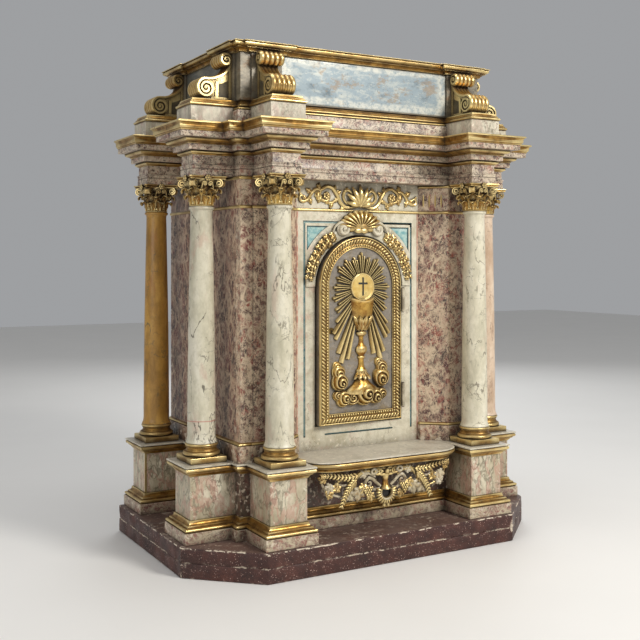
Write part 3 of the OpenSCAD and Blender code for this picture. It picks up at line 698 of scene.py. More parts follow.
def marbling(name, base, pale, shade, vein, blush, veins=0.6, blushes=0.3, tall=0.5, seed=0.0,
             band_z=None, waves=0.0):
    """Painted veined marble on a light ground. waves adds close wavy veins, and band_z paints a
    thin red line round at that height."""
    p = Paint(name)
    at = p.warped(0.014, 18, p.scaled(1, 1, tall))
    cloud = p.fac(20, 7, 0.68, at)
    stone = p.ramp(cloud, (0.34, shade), (0.48, base), (0.64, pale))
    mottle = p.fac(75, 6, 0.7, p.scaled(1, 1, 0.7))
    stone = p.mix(p.band(mottle, 0.42, 0.66, 0.0, 0.5), stone, shade)
    pink = p.times(p.band(p.fac(26, 5, 0.65, at), 0.54, 0.68), blushes)
    stone = p.mix(pink, stone, blush)
    main = p.times(p.vein(11, 0.007, at, 6, seed + 0.2),
                  p.band(p.fac(14), 0.42, 0.56))
    fine = p.times(p.vein(26, 0.012, p.warped(0.02, 14), 4, seed + 1.3),
                  p.band(p.fac(17, 2), 0.46, 0.58))
    lines = p.times(p.most(main, p.times(fine, 0.8)), veins)
    stone = p.mix(lines, stone, vein)
    if waves:
        ripple = p.vein(46, 0.035, p.warped(0.016, 26, p.scaled(1, 1, 0.45)), 4, seed + 2.1)
        stone = p.mix(p.times(ripple, waves), stone, vein)
        rose = p.vein(38, 0.05, p.warped(0.016, 24, p.scaled(1, 1, 0.4)), 4, seed + 5.7)
        stone = p.mix(p.times(rose, waves * 0.7), stone, blush)
    speck = p.times(p.band(p.fac(200, 4, 0.65), 0.66, 0.71), 0.55)
    stone = p.mix(speck, stone, "#5f4e3d")
    if band_z is not None:
        split = p.node("SeparateXYZ")
        p.feed(split.inputs[0], p.warped(0.0015, 30))
        away = p.away(split.outputs["Z"], band_z * MM)
        stone = p.mix(p.band(away, 0.0006, 0.0016, 0.6, 0.0), stone, "#b5625a")
    # The second argument paints shade into the hollows
    stone = p.age(stone, (0.03, 0.3, 0.97, 0.6, "#4b3e2f"), (0.35, "#a9a196"),
                  (0.535, 0.58, 110, 0.58, 0.64, "#e8dfca"))
    return p.done(stone, p.band(cloud, 0.3, 0.7, 0.32, 0.48), 0.0,
                  p.fac(200, 5, 0.6), 0.14, 0.0005, 0.15)


def porphyry(name, edges):
    """Dark porphyry paint, spattered, and chipped white along the boards' edges at these heights."""
    p = Paint(name)
    ground = p.ramp(p.fac(22, 6, 0.65), (0.3, "#26100b"), (0.5, "#3f1e17"),
                    (0.7, "#5a3025"))
    speck = p.times(p.band(p.cells(260).outputs["Distance"], 0.14, 0.26, 1.0, 0.0),
                   p.band(p.fac(90, 3), 0.40, 0.60))
    stone = p.mix(p.times(speck, 0.85), ground, "#c9ab9d")
    tiny = p.band(p.fac(900, 2), 0.60, 0.68)
    stone = p.mix(p.times(tiny, 0.45), stone, "#96604f")
    black = p.band(p.fac(420, 2), 0.60, 0.66)
    stone = p.mix(p.times(black, 0.7), stone, "#170b0c")
    height = p.node("SeparateXYZ")
    p.feed(height.inputs[0], p.warped(0.0022, 120))
    seam = p.band(p.fac(26, 6, 0.75), 0.50, 0.55)
    chip = p.times(p.ridge(0.525, 0.56), p.band(p.fac(44, 6, 0.75), 0.56, 0.6))
    for z in edges:
        away = p.away(height.outputs["Z"], z * MM)
        chip = p.most(chip, p.times(p.band(away, 0.0007, 0.0015, 1.0, 0.0), seam))
    stone = p.mix(chip, stone, "#d6c8b2")
    dust = p.times(p.upward(), p.band(p.fac(16, 5), 0.25, 0.7, 0.45, 0.8))
    stone = p.mix(p.times(dust, 0.9), stone, "#67544b")
    return p.done(stone, p.band(p.fac(30), 0.3, 0.7, 0.42, 0.62), 0.0,
                  p.fac(300, 4), 0.22, 0.0006, 0.05)


def silvering(name, field="#93a3ab", pale="#d6d6cd", shade="#5e6d76", rust="#8f775a", level=0.25,
              border=None, lined=None):
    """Rubbed silvering and grey-blue paint, streaked sideways. border gives half the width and the
    heights of a field beyond which the paint is pale; lined is the colour of the door's back."""
    p = Paint(name)
    at = p.warped(0.010, 30, p.scaled(level, level, 1))
    tone = p.fac(30, 8, 0.75, at)
    metal = p.ramp(tone, (0.34, shade), (0.46, field), (0.54, field), (0.64, pale))
    flakes = p.band(p.fac(64, 8, 0.8, p.scaled(0.5, 0.5, 1.2)), 0.5, 0.6)
    metal = p.mix(p.times(flakes, 0.6), metal, pale)
    worn = p.band(p.fac(26, 8, 0.78, p.scaled(0.6, 0.6, 1)), 0.54, 0.62)
    metal = p.mix(p.times(worn, 0.6), metal, rust)
    if border:
        half, low, high = border
        split = p.node("SeparateXYZ")
        p.feed(split.inputs[0], p.warped(0.006, 40))
        beside = p.band(p.math("ABSOLUTE", split.outputs["X"]), (half - 6) * MM, (half + 6) * MM)
        below = p.band(split.outputs["Z"], (low - 3) * MM, (low + 3) * MM, 1.0, 0.0)
        above = p.band(split.outputs["Z"], (high - 3) * MM, (high + 3) * MM)
        rim = p.most(beside, p.most(below, above))
        ragged = p.times(rim, p.band(p.fac(70, 7, 0.75), 0.40, 0.56, 0.1, 0.8))
        metal = p.mix(ragged, metal, "#c9c8bc")
    speck = p.band(p.fac(220, 5, 0.75), 0.58, 0.66)
    metal = p.mix(p.times(speck, 0.55), metal, "#3f4245")
    if lined:
        behind = p.node("VectorMath", operation="DOT_PRODUCT")
        p.feed(behind.inputs[0], p.node("TexCoord").outputs["Normal"])
        behind.inputs[1].default_value = (-sin(AJAR), cos(AJAR), 0)
        lining = p.mix(p.band(tone, 0.4, 0.6), "#4c1714", lined)
        metal = p.mix(p.band(behind.outputs["Value"], 0.4, 0.6), metal, lining)
    # The second argument paints shade into the hollows
    metal = p.age(metal, (0.02, 0.3, 0.97, 0.65, "#332c24"))
    return p.done(metal, p.band(tone, 0.3, 0.7, 0.5, 0.34), 0.2,
                  p.fac(180, 6, 0.7), 0.2, 0.0006)


def plain_paint(name, colour, shade, rough=0.55, scale=40):
    p = Paint(name)
    tone = p.mix(p.band(p.fac(scale, 6, 0.65), 0.36, 0.62), shade, colour)
    wear = p.band(p.fac(130, 5, 0.7), 0.63, 0.7)
    tone = p.mix(p.times(wear, 0.4), tone, "#cbbfa6")
    # The second argument paints shade into the hollows
    tone = p.age(tone, (0.02, 0.25, 0.9, 0.5, "#241c18"))
    return p.done(tone, rough, 0.0, p.fac(240, 5), 0.2, 0.0005)


def old_wood(name, stretch=(1, 1, 0.06)):
    """Old unpainted softwood; stretch makes the grain long in one direction."""
    p = Paint(name)
    at = p.warped(0.003, 12, p.scaled(*stretch))
    grain = p.fac(260, 7, 0.6, at)
    wood = p.ramp(grain, (0.34, "#4a3320"), (0.5, "#6b4a2d"), (0.66, "#82603d"))
    cloud = p.fac(9, 5, 0.6, at)
    wood = p.mix(p.band(cloud, 0.4, 0.65, 0.0, 0.6), wood, "#4f3823")
    # The second argument paints shade into the hollows
    wood = p.age(wood, (0.02, 0.3, 0.95, 0.7, "#1a120b"))
    stain = p.band(p.fac(14, 5, 0.7), 0.52, 0.66, 0.0, 0.45)
    wood = p.mix(stain, wood, "#33241a")
    return p.done(wood, 0.74, 0.0, grain, 0.35, 0.0006)


def worked_metal(name, colour, shade, rough):
    p = Paint(name)
    tone = p.fac(160, 5, 0.65)
    skin = p.mix(p.band(tone, 0.35, 0.65), shade, colour)
    rust = p.times(p.band(p.fac(90, 6, 0.7), 0.6, 0.7), 0.5)
    skin = p.mix(rust, skin, "#4a2c1a")
    return p.done(skin, p.band(tone, 0.3, 0.7, rough + 0.12, rough), 0.9,
                  p.fac(500, 4), 0.25, 0.0004)


GOLD = gilding("gilding")
BRIGHT_GOLD = gilding("gilding_bright", "#e6c06a", "#b3873a", 0.2)
BRONZE_GOLD = gilding("gilding_dark", "#a67c36", "#6f4f22", 0.7)
MOULD_GOLD = gilding("gilding_mouldings", "#b88e48", "#775527", 0.5)
WORN_GOLD = gilding("gilding_worn", "#c99d50", "#85592a", 0.8)
RAY_GOLD = gilding("gilding_rays", "#ecc878", "#c0924a", 0.1, 0.35)
HOST_GOLD = gilding("gilding_host", "#f1d68c", "#dcb765", 0.0, 0.45)
WORN_PALE = marbling("worn_gesso", "#c3b695", "#dcd2b8", "#7d6d55", "#5d4630", "#a37b3c", 0.6, 0.9, 1.0,
                     30.0)
WALL_TONES = ("#9a5447", "#402d2c", "#b08372", "#6b554e", "#c9ae96", "#8f382c", "#86735c", "#d3c0a2")
WALL = breccia("breccia_walls", WALL_TONES, "#d6c1a4", 50, 0.75, worms=0.85)
# Darker copies of the wall tones, for the side walls: painted shade on the walls that face sideways
SHADED_WALL_TONES = ("#6e392f", "#1b1413", "#8a5648", "#3b2c28", "#98705a", "#7a3228", "#4a3b33", "#ac8a74")
SHADED_SIDE_WALL = breccia("breccia_side_walls_painted_shade", SHADED_WALL_TONES, "#cfb498", 40, 0.6, 0.14)
PALE_TONES = ("#b98674", "#5a3e3a", "#cdbfa9", "#7d675a", "#a86452", "#d8cbb2", "#352b2b", "#b39c86")
ENTABLATURE = breccia("breccia_entablature", PALE_TONES, "#dccdb3", 70, 1.0, 0.1, worms=0.95)
BASE_TONES = ("#a7796c", "#7d4a42", "#b8a78d", "#6f6358", "#9c5145", "#c6b69d", "#807a68", "#ad8c7e")
BASE_STONE = breccia("breccia_base", BASE_TONES, "#cbbd9f", 50, 1.2, 0.1, 0.6)
# The dado under the shelf: the wall breccia with darker veins, drawn half way to near black, as painted
# shade under the shelf
SHADED_DADO_STONE = breccia("breccia_dado_painted_shade", WALL_TONES, "#7f725f", 56, 0.8, 0.5)
FACADE_CREAM = marbling("marbling_facade", "#dad4bf", "#e4ddc8", "#bcb398", "#8c8069", "#cf9a8a",
                        0.5, 0.35, 1.0, 2.0)
DIE_STONE = marbling("marbling_dies", "#bcb196", "#dad2bb", "#a2977c", "#6c6450", "#b97f70", 0.8, 0.4,
                     0.45, 3.0, None, 0.62)
SHAFT_PLAIN = marbling("marbling_shafts", "#d3ccb4", "#e1dbc7", "#b7b199", "#77705f", "#c48a7a", 0.85,
                       0.22, 0.4, 5.0)
SHAFT_BANDED = marbling("marbling_side_shaft", "#ccc6af", "#dbd5c2", "#b0aa93", "#6d675a", "#b4786a",
                        0.95, 0.3, 0.4, 8.0, FLOOR_Z + 78)
SHAFT_ROSE = marbling("marbling_rose", "#d8c1a8", "#e4d3be", "#bfa388", "#86695a", "#c08070", 0.6, 0.5,
                      0.45, 11.0)
SIENA = marbling("marbling_siena", "#b08338", "#c79b4a", "#8c6626", "#5c563c", "#9a5c2c", 0.8, 0.5,
                 0.35, 14.0)
SHELF_STONE = marbling("marbling_shelf", "#cfc9b6", "#d3ccba", "#a49c88", "#7d7464", "#b3938a",
                       0.6, 0.3, 1.0, 17.0)
ATTIC_CREAM = marbling("marbling_attic", "#d3cbb5", "#d8d1be", "#a19a85", "#756c5b", "#b98d80", 0.7,
                       0.4, 0.7, 20.0, None, 0.25)
PORPHYRY = porphyry("porphyry_paint", (PLINTH.z1, PLINTH_TOP - 1.5))
SILVER = silvering("silvering_strips", "#787162", "#9a917d", "#4e493f", "#7c5426", 0.5)
# The attic's side fields: a darker brownish silvering, painted shade on the sides
SHADED_SIDE_SILVER = silvering("silvering_sides_painted_shade", "#5d5e58", "#84806f", "#3d3d39", "#5e4e3a")
SILVER_PANEL = silvering("silvering_panel", "#84939a", "#adb1ab", "#606f77", "#8c7250", 0.6,
                         (176, 906, 968))
DOOR_GROUND = silvering("silvering_door", "#8d857b", "#a59c8e", "#69655f", "#8a7650", 0.9,
                        lined="#6a221d")
TEAL = plain_paint("paint_teal", "#b2cdc5", "#6fa4a9", 0.55, 90)
PALE_TEAL = plain_paint("paint_pale_teal", "#bcd2cd", "#9dbdba")
# Dark teal: a thin line round the raised arch band, and painted shadow on the walls and along edges of
# the facade's sunk fields and lines
TEAL_LINE_AND_SHADOW = plain_paint("paint_teal_line_and_shadow", "#37595b", "#243c3f")
RED_LINE = plain_paint("paint_rose_line", "#d2bda6", "#c08672", 0.55, 70)
LINING = plain_paint("paint_lining", "#6a221d", "#4c1714", 0.8, 20)
DARK_PAINT = plain_paint("paint_dark", "#2b2a28", "#181716", 0.6)
BRACKET_DARK = plain_paint("paint_olive", "#5f543a", "#3d3626", 0.6)
GESSO = plain_paint("paint_cream", "#ded6c0", "#c3b99e", 0.5)
WOOD = old_wood("old_softwood")
WOOD_ACROSS = old_wood("old_softwood_across", (0.06, 1, 1))
IRON = worked_metal("forged_iron", "#5a544c", "#332f2b", 0.5)
STEEL = worked_metal("aged_steel", "#8c867b", "#5f5a51", 0.4)
BRASS = worked_metal("dull_brass", "#6f5a32", "#46361d", 0.45)
PAINTED_IRON = plain_paint("painted_iron", "#c9c0a8", "#8a806c")


# ---------- plans ----------

def broken_plan(body_x, body_y, half, break_x, break_y, mid_y):
    """Plan of a course, anticlockwise from the front's middle: the body at body_x and body_y, and
    a break that reaches half to each side of every column. The middle lies at mid_y."""
    right = [(FRONT_X - half, mid_y), (FRONT_X - half, break_y), (FRONT_X + half, break_y),
             (FRONT_X + half, body_y), (body_x, body_y)]
    for y in (SIDE_Y, REAR_Y):
        right += [(body_x, y - half), (break_x, y - half), (break_x, y + half), (body_x, y + half)]
    right.append((body_x, BACK))
    return right + mirrored(right)[::-1]


def course_plan(body_x, body_y, half, mid_y=None):
    """Plan of a course whose breaks are centred on the columns."""
    return broken_plan(body_x, body_y, half, SIDE_X + half, FRONT_Y - half,
                       body_y if mid_y is None else mid_y)


def attic_plan(half, step):
    """Plan of the attic with breaks that stand out by step."""
    return broken_plan(ATTIC_X, ATTIC_Y, half, ATTIC_X + step, ATTIC_Y - step, ATTIC_Y)


def faced(mat, points):
    """Points of a profile with their material number."""
    return [(out, z, mat) for out, z in points]


def bare_back(wood):
    """Chooses bare wood, the given material number, for the faces that lie on the back."""
    return lambda c, mat: wood if c.y > BACK - 1 else mat


def on_back(a, b):
    return a.y > BACK - 0.5 and b.y > BACK - 0.5


# ---------- plinth and pedestals ----------

def plinth_board(name, z0, z1):
    half = PLINTH.x1 - PLINTH_CUT_X
    plan = [(-half, 0), (half, 0), (PLINTH.x1, PLINTH_CUT_Y), (PLINTH.x1, BACK),
            (PLINTH.x0, BACK), (PLINTH.x0, PLINTH_CUT_Y)]
    shape = Shape()
    profile = [(-1.6, z0, 0), (-0.5, z0 + 0.5, 0), (0, z0 + 1.6, 0), (0, (z0 + z1) / 2, 0),
               (0, z1 - 1.6, 0), (-0.5, z1 - 0.5, 0), (-1.6, z1, 0)]
    course(shape, plan, profile, pitch=6)
    # The arrises are knocked in here and there, as old painted wood is
    for i, v in enumerate(shape.verts):
        near = min(v.z - z0, z1 - v.z)
        if near < 2 and v.z > 1:
            dent = noise.noise(v * 0.055) + 0.5 * noise.noise(v * 0.21)
            bite = max(0.0, dent - 0.28) * 5
            shape.verts[i] = Vector((v.x * (1 - bite / 400), v.y + (bite if v.y < 120 else 0), v.z))
    build(shape, name, "cabinet", [PORPHYRY], 0.25)


plinth_board("plinth_lower_board", 0, PLINTH.z1)
plinth_board("plinth_upper_board", PLINTH.z1, PLINTH_TOP)


def base_course():
    """Breccia band and gilt moulding round the foot of the pedestals."""
    z = BASE_COURSE.z0
    out = BASE_COURSE.x1 - SIDE_X - DIE_HALF
    profile = [(out - 1.2, z, 0), (out, z + 1.2, 0), (out, z + 20.8, 0), (out - 1.2, z + 22, 1)]
    mould = [*arc(out - 5, z + 26.2, 4, 3.4, -75, 75, 7), (out - 6.6, z + 30), (out - 6.6, z + 32.2),
             (out - 7.6, z + 32.8), *arc(out - 7.8, z + 40, -5.4, -6.6, 90, 0, 6),
             (2.6, z + 41.4), (1, z + 42)]
    profile += faced(1, mould)
    shape = Shape()
    course(shape, course_plan(WALL_X, WALL_Y, DIE_HALF), profile, on_back, back=BACK)
    build(shape, "pedestal_base_course", "cabinet",
          [BASE_STONE, MOULD_GOLD, WOOD_ACROSS], pick=bare_back(2))


base_course()


def soft_block(shape, x0, x1, y0, y1, z0, z1, edge=1.0, mat=0, pitch=12):
    """A block with eased arrises."""
    plan = [(x0, y0), (x1, y0), (x1, y1), (x0, y1)]
    course(shape, plan, [(-edge, z0, mat), (-0.3 * edge, z0 + 0.3 * edge, mat), (0, z0 + edge, mat),
                         (0, (z0 + z1) / 2, mat), (0, z1 - edge, mat),
                         (-0.3 * edge, z1 - 0.3 * edge, mat), (-edge, z1, mat)], pitch=pitch)


def dies():
    z0, z1 = DIES.z0, DIES.z1
    front, side = Shape(), Shape()
    for s in (-1, 1):
        xs = sorted((s * (FRONT_X - DIE_HALF), s * (FRONT_X + DIE_HALF)))
        soft_block(front, *xs, FRONT_Y - DIE_HALF, WALL_Y, z0, z1, 0.8)
        for y in (SIDE_Y, REAR_Y):
            xs = sorted((s * WALL_X, s * (SIDE_X + DIE_HALF)))
            soft_block(side, *xs, y - DIE_HALF, y + DIE_HALF, z0, z1, 0.8)
        # A gilt strip covers the front corner joint of the rear pedestals
        x = s * (SIDE_X + DIE_HALF - 1)
        soft_block(side, x - 2, x + 2, REAR_Y - DIE_HALF - 0.6, REAR_Y - DIE_HALF + 2, z0, z1, 0.5, 1)
    build(front, "pedestals_front", "cabinet", [DIE_STONE])
    build(side, "pedestals_side", "cabinet", [DIE_STONE, MOULD_GOLD])


dies()


def cap_profile(z0, z1, reach, gold, stone):
    """Gilt cavetto, fillet and ovolo under a painted top edge."""
    return [(0.5, z0, gold), (1.6, z0 + 0.6, gold), (2, z0 + 2, gold),
            *faced(gold, arc(reach - 6, z0 + 2, -4.6, 4.8, 0, 80, 5)[1:]),
            (reach - 6.4, z0 + 7.2, gold), (reach - 5.4, z0 + 7.6, gold), (reach - 5.4, z0 + 9, gold),
            *faced(gold, arc(reach - 5.4, z0 + 13.6, 4.6, 4.2, -80, 60, 6)),
            (reach - 2.4, z1 - 3.4, gold), (reach - 0.6, z1 - 3, stone), (reach, z1 - 2, stone),
            (reach, z1 - 0.8, stone), (reach - 0.9, z1, stone)]


def pedestal_cornice():
    shape = Shape()
    plan = course_plan(WALL_X, WALL_Y, DIE_HALF, BAY_Y + 18)
    course(shape, plan, cap_profile(SHELF.z0, FLOOR_Z, 14, 0, 1), on_back, back=BACK)
    build(shape, "pedestal_cornice", "cabinet", [MOULD_GOLD, SHELF_STONE, WOOD_ACROSS],
          pick=bare_back(2))


pedestal_cornice()


def mensa_shelf():
    """Shelf with rounded front corners, a gilt moulded edge and a marbled top."""
    z0, z1 = SHELF.z0, SHELF.z1
    x, y, rx, ry = SHELF.x1 - 1, SHELF.y0 + 1, 66, 50
    plan = [*arc(-x + rx, y + ry, rx, ry, 180, 270, 16), *arc(x - rx, y + ry, rx, ry, 270, 360, 16),
            (x, BAY_Y + 1), (-x, BAY_Y + 1)]
    profile = [(-12, z0, 0), (-11, z0 + 0.6, 0),
               *faced(0, arc(-3.6, z0 + 1, -7.2, 6.6, 0, 82, 6)[1:]),
               (-4, z0 + 8, 0), (-3, z0 + 8.4, 0), (-3, z0 + 9.8, 0),
               *faced(0, arc(-3.4, z0 + 13.8, 4, 3.8, -80, 74, 7)),
               (-1.6, z1 - 2.8, 1), (-0.2, z1 - 2.2, 1), (-0.2, z1 - 0.8, 1), (-1.2, z1, 1)]
    shape = Shape()
    course(shape, plan, profile, lambda a, b: a.y > BAY_Y and b.y > BAY_Y, 8)
    build(shape, "mensa_shelf", "cabinet", [MOULD_GOLD, SHELF_STONE])


mensa_shelf()


# ---------- columns ----------

def column_bases(row, gold):
    """Block, lower roll, hollow and upper roll under each column of a row."""
    shape = Shape()
    foot = SHAFTS["front_left"].z0
    z = FLOOR_Z
    r = 27
    for side in ("left", "right"):
        at = SHAFTS[row + "_" + side]
        half = DIE_HALF - 1.5
        soft_block(shape, at.x - half, at.x + half, at.y - half, at.y + half, z, z + 11.5, 1.2)
        profile = [(r + 3, z + 10.5), (r + 4.6, z + 11.6),
                   *arc(r + 3.6, z + 16.2, 5, 4.6, -70, 76, 8), (r + 3.4, z + 21.2),
                   (r + 3.4, z + 22.2), *arc(r + 4.2, z + 26, -2.6, 3.4, -60, 60, 6),
                   (r + 2.4, z + 29.6), (r + 2.4, z + 30.2),
                   *arc(r + 1.8, z + 33, 3, 2.7, -76, 76, 7), (r + 0.5, foot)]
        lathe(shape, profile, at.x, at.y, 56)
    build(shape, "column_bases_" + row, "cabinet", [gold])


for row, gold in (("front", MOULD_GOLD), ("side", MOULD_GOLD), ("rear", BRONZE_GOLD)):
    column_bases(row, gold)


def shaft(column, material):
    """A shaft with entasis, a flared foot and a small ring at the neck."""
    at = SHAFTS[column]
    foot, neck = 27, 21
    z0, z1 = at.z0, at.z1
    profile = [(foot + 3, z0), (foot + 3.2, z0 + 1.4), (foot + 2.2, z0 + 3), (foot + 1, z0 + 6),
               (foot + 0.3, z0 + 10)]
    n = 40
    low, high = z0 + 14, z1 - 12
    profile += [(foot - (foot - neck) * (i / n) ** 1.6, low + (high - low) * i / n)
                for i in range(n + 1)]
    profile += [(neck + 0.3, z1 - 9), (neck + 1.2, z1 - 6.6),
                *arc(neck + 1.4, z1 - 3.2, 2.2, 3, -80, 80, 7), (neck + 0.6, z1)]
    shape = Shape()
    lathe(shape, profile, at.x, at.y, 64)
    build(shape, "column_shaft_" + column, "cabinet", [material], 0.2)


shaft("front_left", SHAFT_PLAIN)
shaft("front_right", SHAFT_PLAIN)
shaft("side_left", SHAFT_BANDED)
shaft("side_right", SHAFT_ROSE)
shaft("rear_left", SIENA)
shaft("rear_right", SIENA)


def capital(column, material):
    """A bell with two rows of curling leaves, corner scrolls, small inner scrolls, a hollow-sided
    abacus and a flower on each face."""
    at = CAPITALS[column]
    z0, z1 = at.z0, at.z1
    x, y = at.x, at.y
    neck = 21.5
    shape = Shape()
    lathe(shape, [(neck - 2, z0), (neck + 1.2, z0 + 0.6), (neck + 2, z0 + 2), (neck + 0.6, z0 + 3.4),
                  (neck - 0.5, z0 + 14), (neck, z0 + 30), (neck + 3, z0 + 40),
                  (neck + 8, z0 + 47), (neck + 9, z0 + 52)], x, y, 40)
    for count, turn, radius, start, length, width, reach in (
            (8, 0.0, neck + 0.8, 2.5, 25, 17, 3.6), (8, 0.5, neck + 1.2, 9, 34, 18, 3.6)):
        for k in range(count):
            heading = 2 * pi * (k + turn) / count
            foot = Vector((x + radius * cos(heading), y + radius * sin(heading), z0 + start))
            leaf(shape, upright_place(*foot, heading), length, width, 0.10, reach, 3, 0.2, 2.4,
                 18, 4, power=4, blunt=0.75)
    for k in range(4):
        heading = pi / 4 + k * pi / 2
        out, side = facing(heading)
        cr, cz, size = neck + 17, 43, 7.8
        rise = curve([(neck + 2, 24), (neck + 3, 34), (neck + 8, 46), (cr, cz + size)], 5)
        roll = spiral(cr, cz, size, 1.6, 90, -1.7, 18)
        line = rise[:-1] + roll
        rows = []
        for i, (ro, h, nx, nz) in enumerate(ribbon(line)):
            w = 2.6 + 3.2 * min(1.0, i / len(rise))
            t = 1.15
            ring = [(-w, -t), (-w, t), (-w * 0.45, 0), (w * 0.45, 0), (w, t), (w, -t)]
            rows.append([Vector((x, y, z0)) + out * (ro + nx * s) + side * q
                         + Vector((0, 0, h + nz * s)) for q, s in ring])
        shape.grid(rows, wrap=True, caps=True)
        eye = Vector((x, y, z0 + cz)) + out * cr
        blob(shape, Matrix.Translation(eye) @ Matrix.Rotation(heading, 4, "Z"), 2.6, 6.4, 2.6, 10, 6)
        foot = Vector((x, y, z0 + 24)) + out * (neck + 2)
        leaf(shape, upright_place(*foot, heading), 20, 11, 0.35, 2.0, 2, 0.25, 1.8, 12, 3, power=3)
    for k in range(4):
        heading = k * pi / 2
        out, side = facing(heading)
        base = Vector((x, y, z0))
        for s in (-1, 1):
            flat = curve([(13 * s, 26), (12 * s, 34), (9.5 * s, 43)], 4)
            roll = spiral(5.6 * s, 42, 4.6, 0.9, way(s, 30), 1.3 * s, 14)
            line = [base + side * p[0] + Vector((0, 0, p[1])) + out * (neck + 2.5 + p[1] * 0.13)
                    for p in [*[(q[0], q[1]) for q in flat[:-1]], *roll]]
            tube(shape, line, 1.7, 6, 1.2, tuple(out))
            eye = base + side * 5.6 * s + Vector((0, 0, 42)) + out * (neck + 8.5)
            blob(shape, Matrix.Translation(eye), 2.1, 2.1, 2.1, 8, 5)
            stalk = base + side * 15 * s + Vector((0, 0, 25)) + out * (neck - 1)
            leaf(shape, upright_place(*stalk, heading + 0.35 * s), 19, 9, 0.3, 1.9, 2, 0.25, 1.6,
                 10, 3, power=3)
        bloom = base + out * (neck + 11.5) + Vector((0, 0, 53))
        for a in around(6):
            petal = bloom + side * 3.9 * cos(a) + Vector((0, 0, 3.9 * sin(a)))
            blob(shape, Matrix.Translation(petal), 2.6, 2.6, 2.6, 7, 4)
        blob(shape, Matrix.Translation(bloom + out * 1.8), 2.6, 2.6, 2.6, 7, 4)
    half, hollow = 38, 8.5
    side_line = [(-half + 3 + 2 * (half - 3) * i / 12,
                  -half + hollow * sin(pi * i / 12)) for i in range(13)]
    plan = []
    for k in range(4):
        c, s = round(cos(k * pi / 2)), round(sin(k * pi / 2))
        plan += [(x + px * c - py * s, y + px * s + py * c) for px, py in side_line]
    course(shape, plan, [(-4, z0 + 50, 0), (-2, z0 + 50.6, 0), (-1.6, z0 + 52, 0),
                         (-2.2, z0 + 52.8, 0), (-2.2, z0 + 53.6, 0), (-0.4, z0 + 54.6, 0),
                         (0.4, z0 + 55.6, 0), (0.4, z1 - 0.8, 0), (0, z1, 0)], pitch=8)
    build(shape, "column_capital_" + column, "cabinet", [material], 0.3)


for column in COLUMNS:
    capital(column, BRONZE_GOLD if column.startswith("rear") else GOLD)


# ---------- walls ----------

BAND_OUT, BAND_H, FILLET_H, NECK_OUT = 8, 32, 6, 3
LINE_Z = CAP_Z - 4


def wall_profile():
    """Base band, gilt roll, plain field and the two gilt fillets of the cap zone."""
    z0, z1 = FLOOR_Z, WALL_TOP
    foot = z0 + BAND_H
    profile = [(BAND_OUT, z0, 0), (BAND_OUT, foot - 0.8, 0), (BAND_OUT - 0.8, foot, 1),
               *faced(1, arc(BAND_OUT - 3.4, foot + 2.6, 2.4, 2.2, -70, 70, 5)),
               (BAND_OUT - 5, foot + 5.2, 1), (1, foot + 6, 0), (0, foot + 7.5, 0)]
    n = 24
    profile += [(0, foot + 8 + (LINE_Z - foot - 9) * i / n, 0) for i in range(n + 1)]
    for z, after in ((LINE_Z, 0), (z1 - FILLET_H, 1)):
        profile += [(0.4, z - 0.3, 1),
                    *faced(1, arc(0.6, z + 3, NECK_OUT - 0.6, 2.8, -72, 72, 5)),
                    (0.4, z + FILLET_H - 0.1, after)]
        if not after:
            profile += [(0, z + FILLET_H + 1, 0), (0, z + 30, 0), (0, z1 - FILLET_H - 1, 0)]
    return profile + [(0.3, z1, 1)]


def front_wall(name, s):
    """The front wall beside the bay, with its canted jamb and a strip behind the column."""
    strip = FRONT_X + ARCHITRAVE_HALF + 1
    plan = [(-WALL_X, WALL_Y + 20), (-WALL_X, WALL_Y), (-strip, WALL_Y), (-strip, WALL_Y - 2.2),
            (-SPLAY_X - 1, WALL_Y - 2.2), (-SPLAY_X, WALL_Y), (-BAY_X, BAY_Y), (-BAY_X, BAY_Y + 20),
            (-SPLAY_X - 13, WALL_Y + 20)]

    def hidden(a, b):
        beside = abs(abs(a.x) - BAY_X) < 0.5 and abs(abs(b.x) - BAY_X) < 0.5
        return beside or min(a.y, b.y) > WALL_Y + 19

    plan = plan if s < 0 else mirrored(plan)[::-1]
    shape = Shape()
    course(shape, plan, wall_profile(), hidden, 12)
    # Four short gilt strokes in the cap zone of the jamb
    a, b = Vector((SPLAY_X, WALL_Y)), Vector((BAY_X, BAY_Y))
    for i in range(4):
        c = a.lerp(b, 0.2 + 0.2 * i)
        low = LINE_Z + 14
        path = [(s * c.x, c.y + 0.6, low + 7 * k) for k in range(5)]
        tube(shape, path, lambda t: 0.6 + 1.5 * sin(pi * t) ** 0.6, 6, mat=1)
    build(shape, name, "cabinet", [WALL, MOULD_GOLD])


def side_wall(name, s):
    plan = [(-WALL_X, BACK), (-WALL_X, WALL_Y + 20), (-WALL_X + 20, WALL_Y + 20), (-WALL_X + 20, BACK)]
    plan = plan if s < 0 else mirrored(plan)[::-1]
    shape = Shape()
    course(shape, plan, wall_profile(), lambda a, b: abs(a.x + b.x) < 2 * WALL_X - 1, 16)
    build(shape, name, "cabinet", [SHADED_SIDE_WALL, MOULD_GOLD, WOOD], pick=bare_back(2))


for wall_side, s in (("left", -1), ("right", 1)):
    front_wall("front_wall_" + wall_side, s)
    side_wall("side_wall_" + wall_side, s)


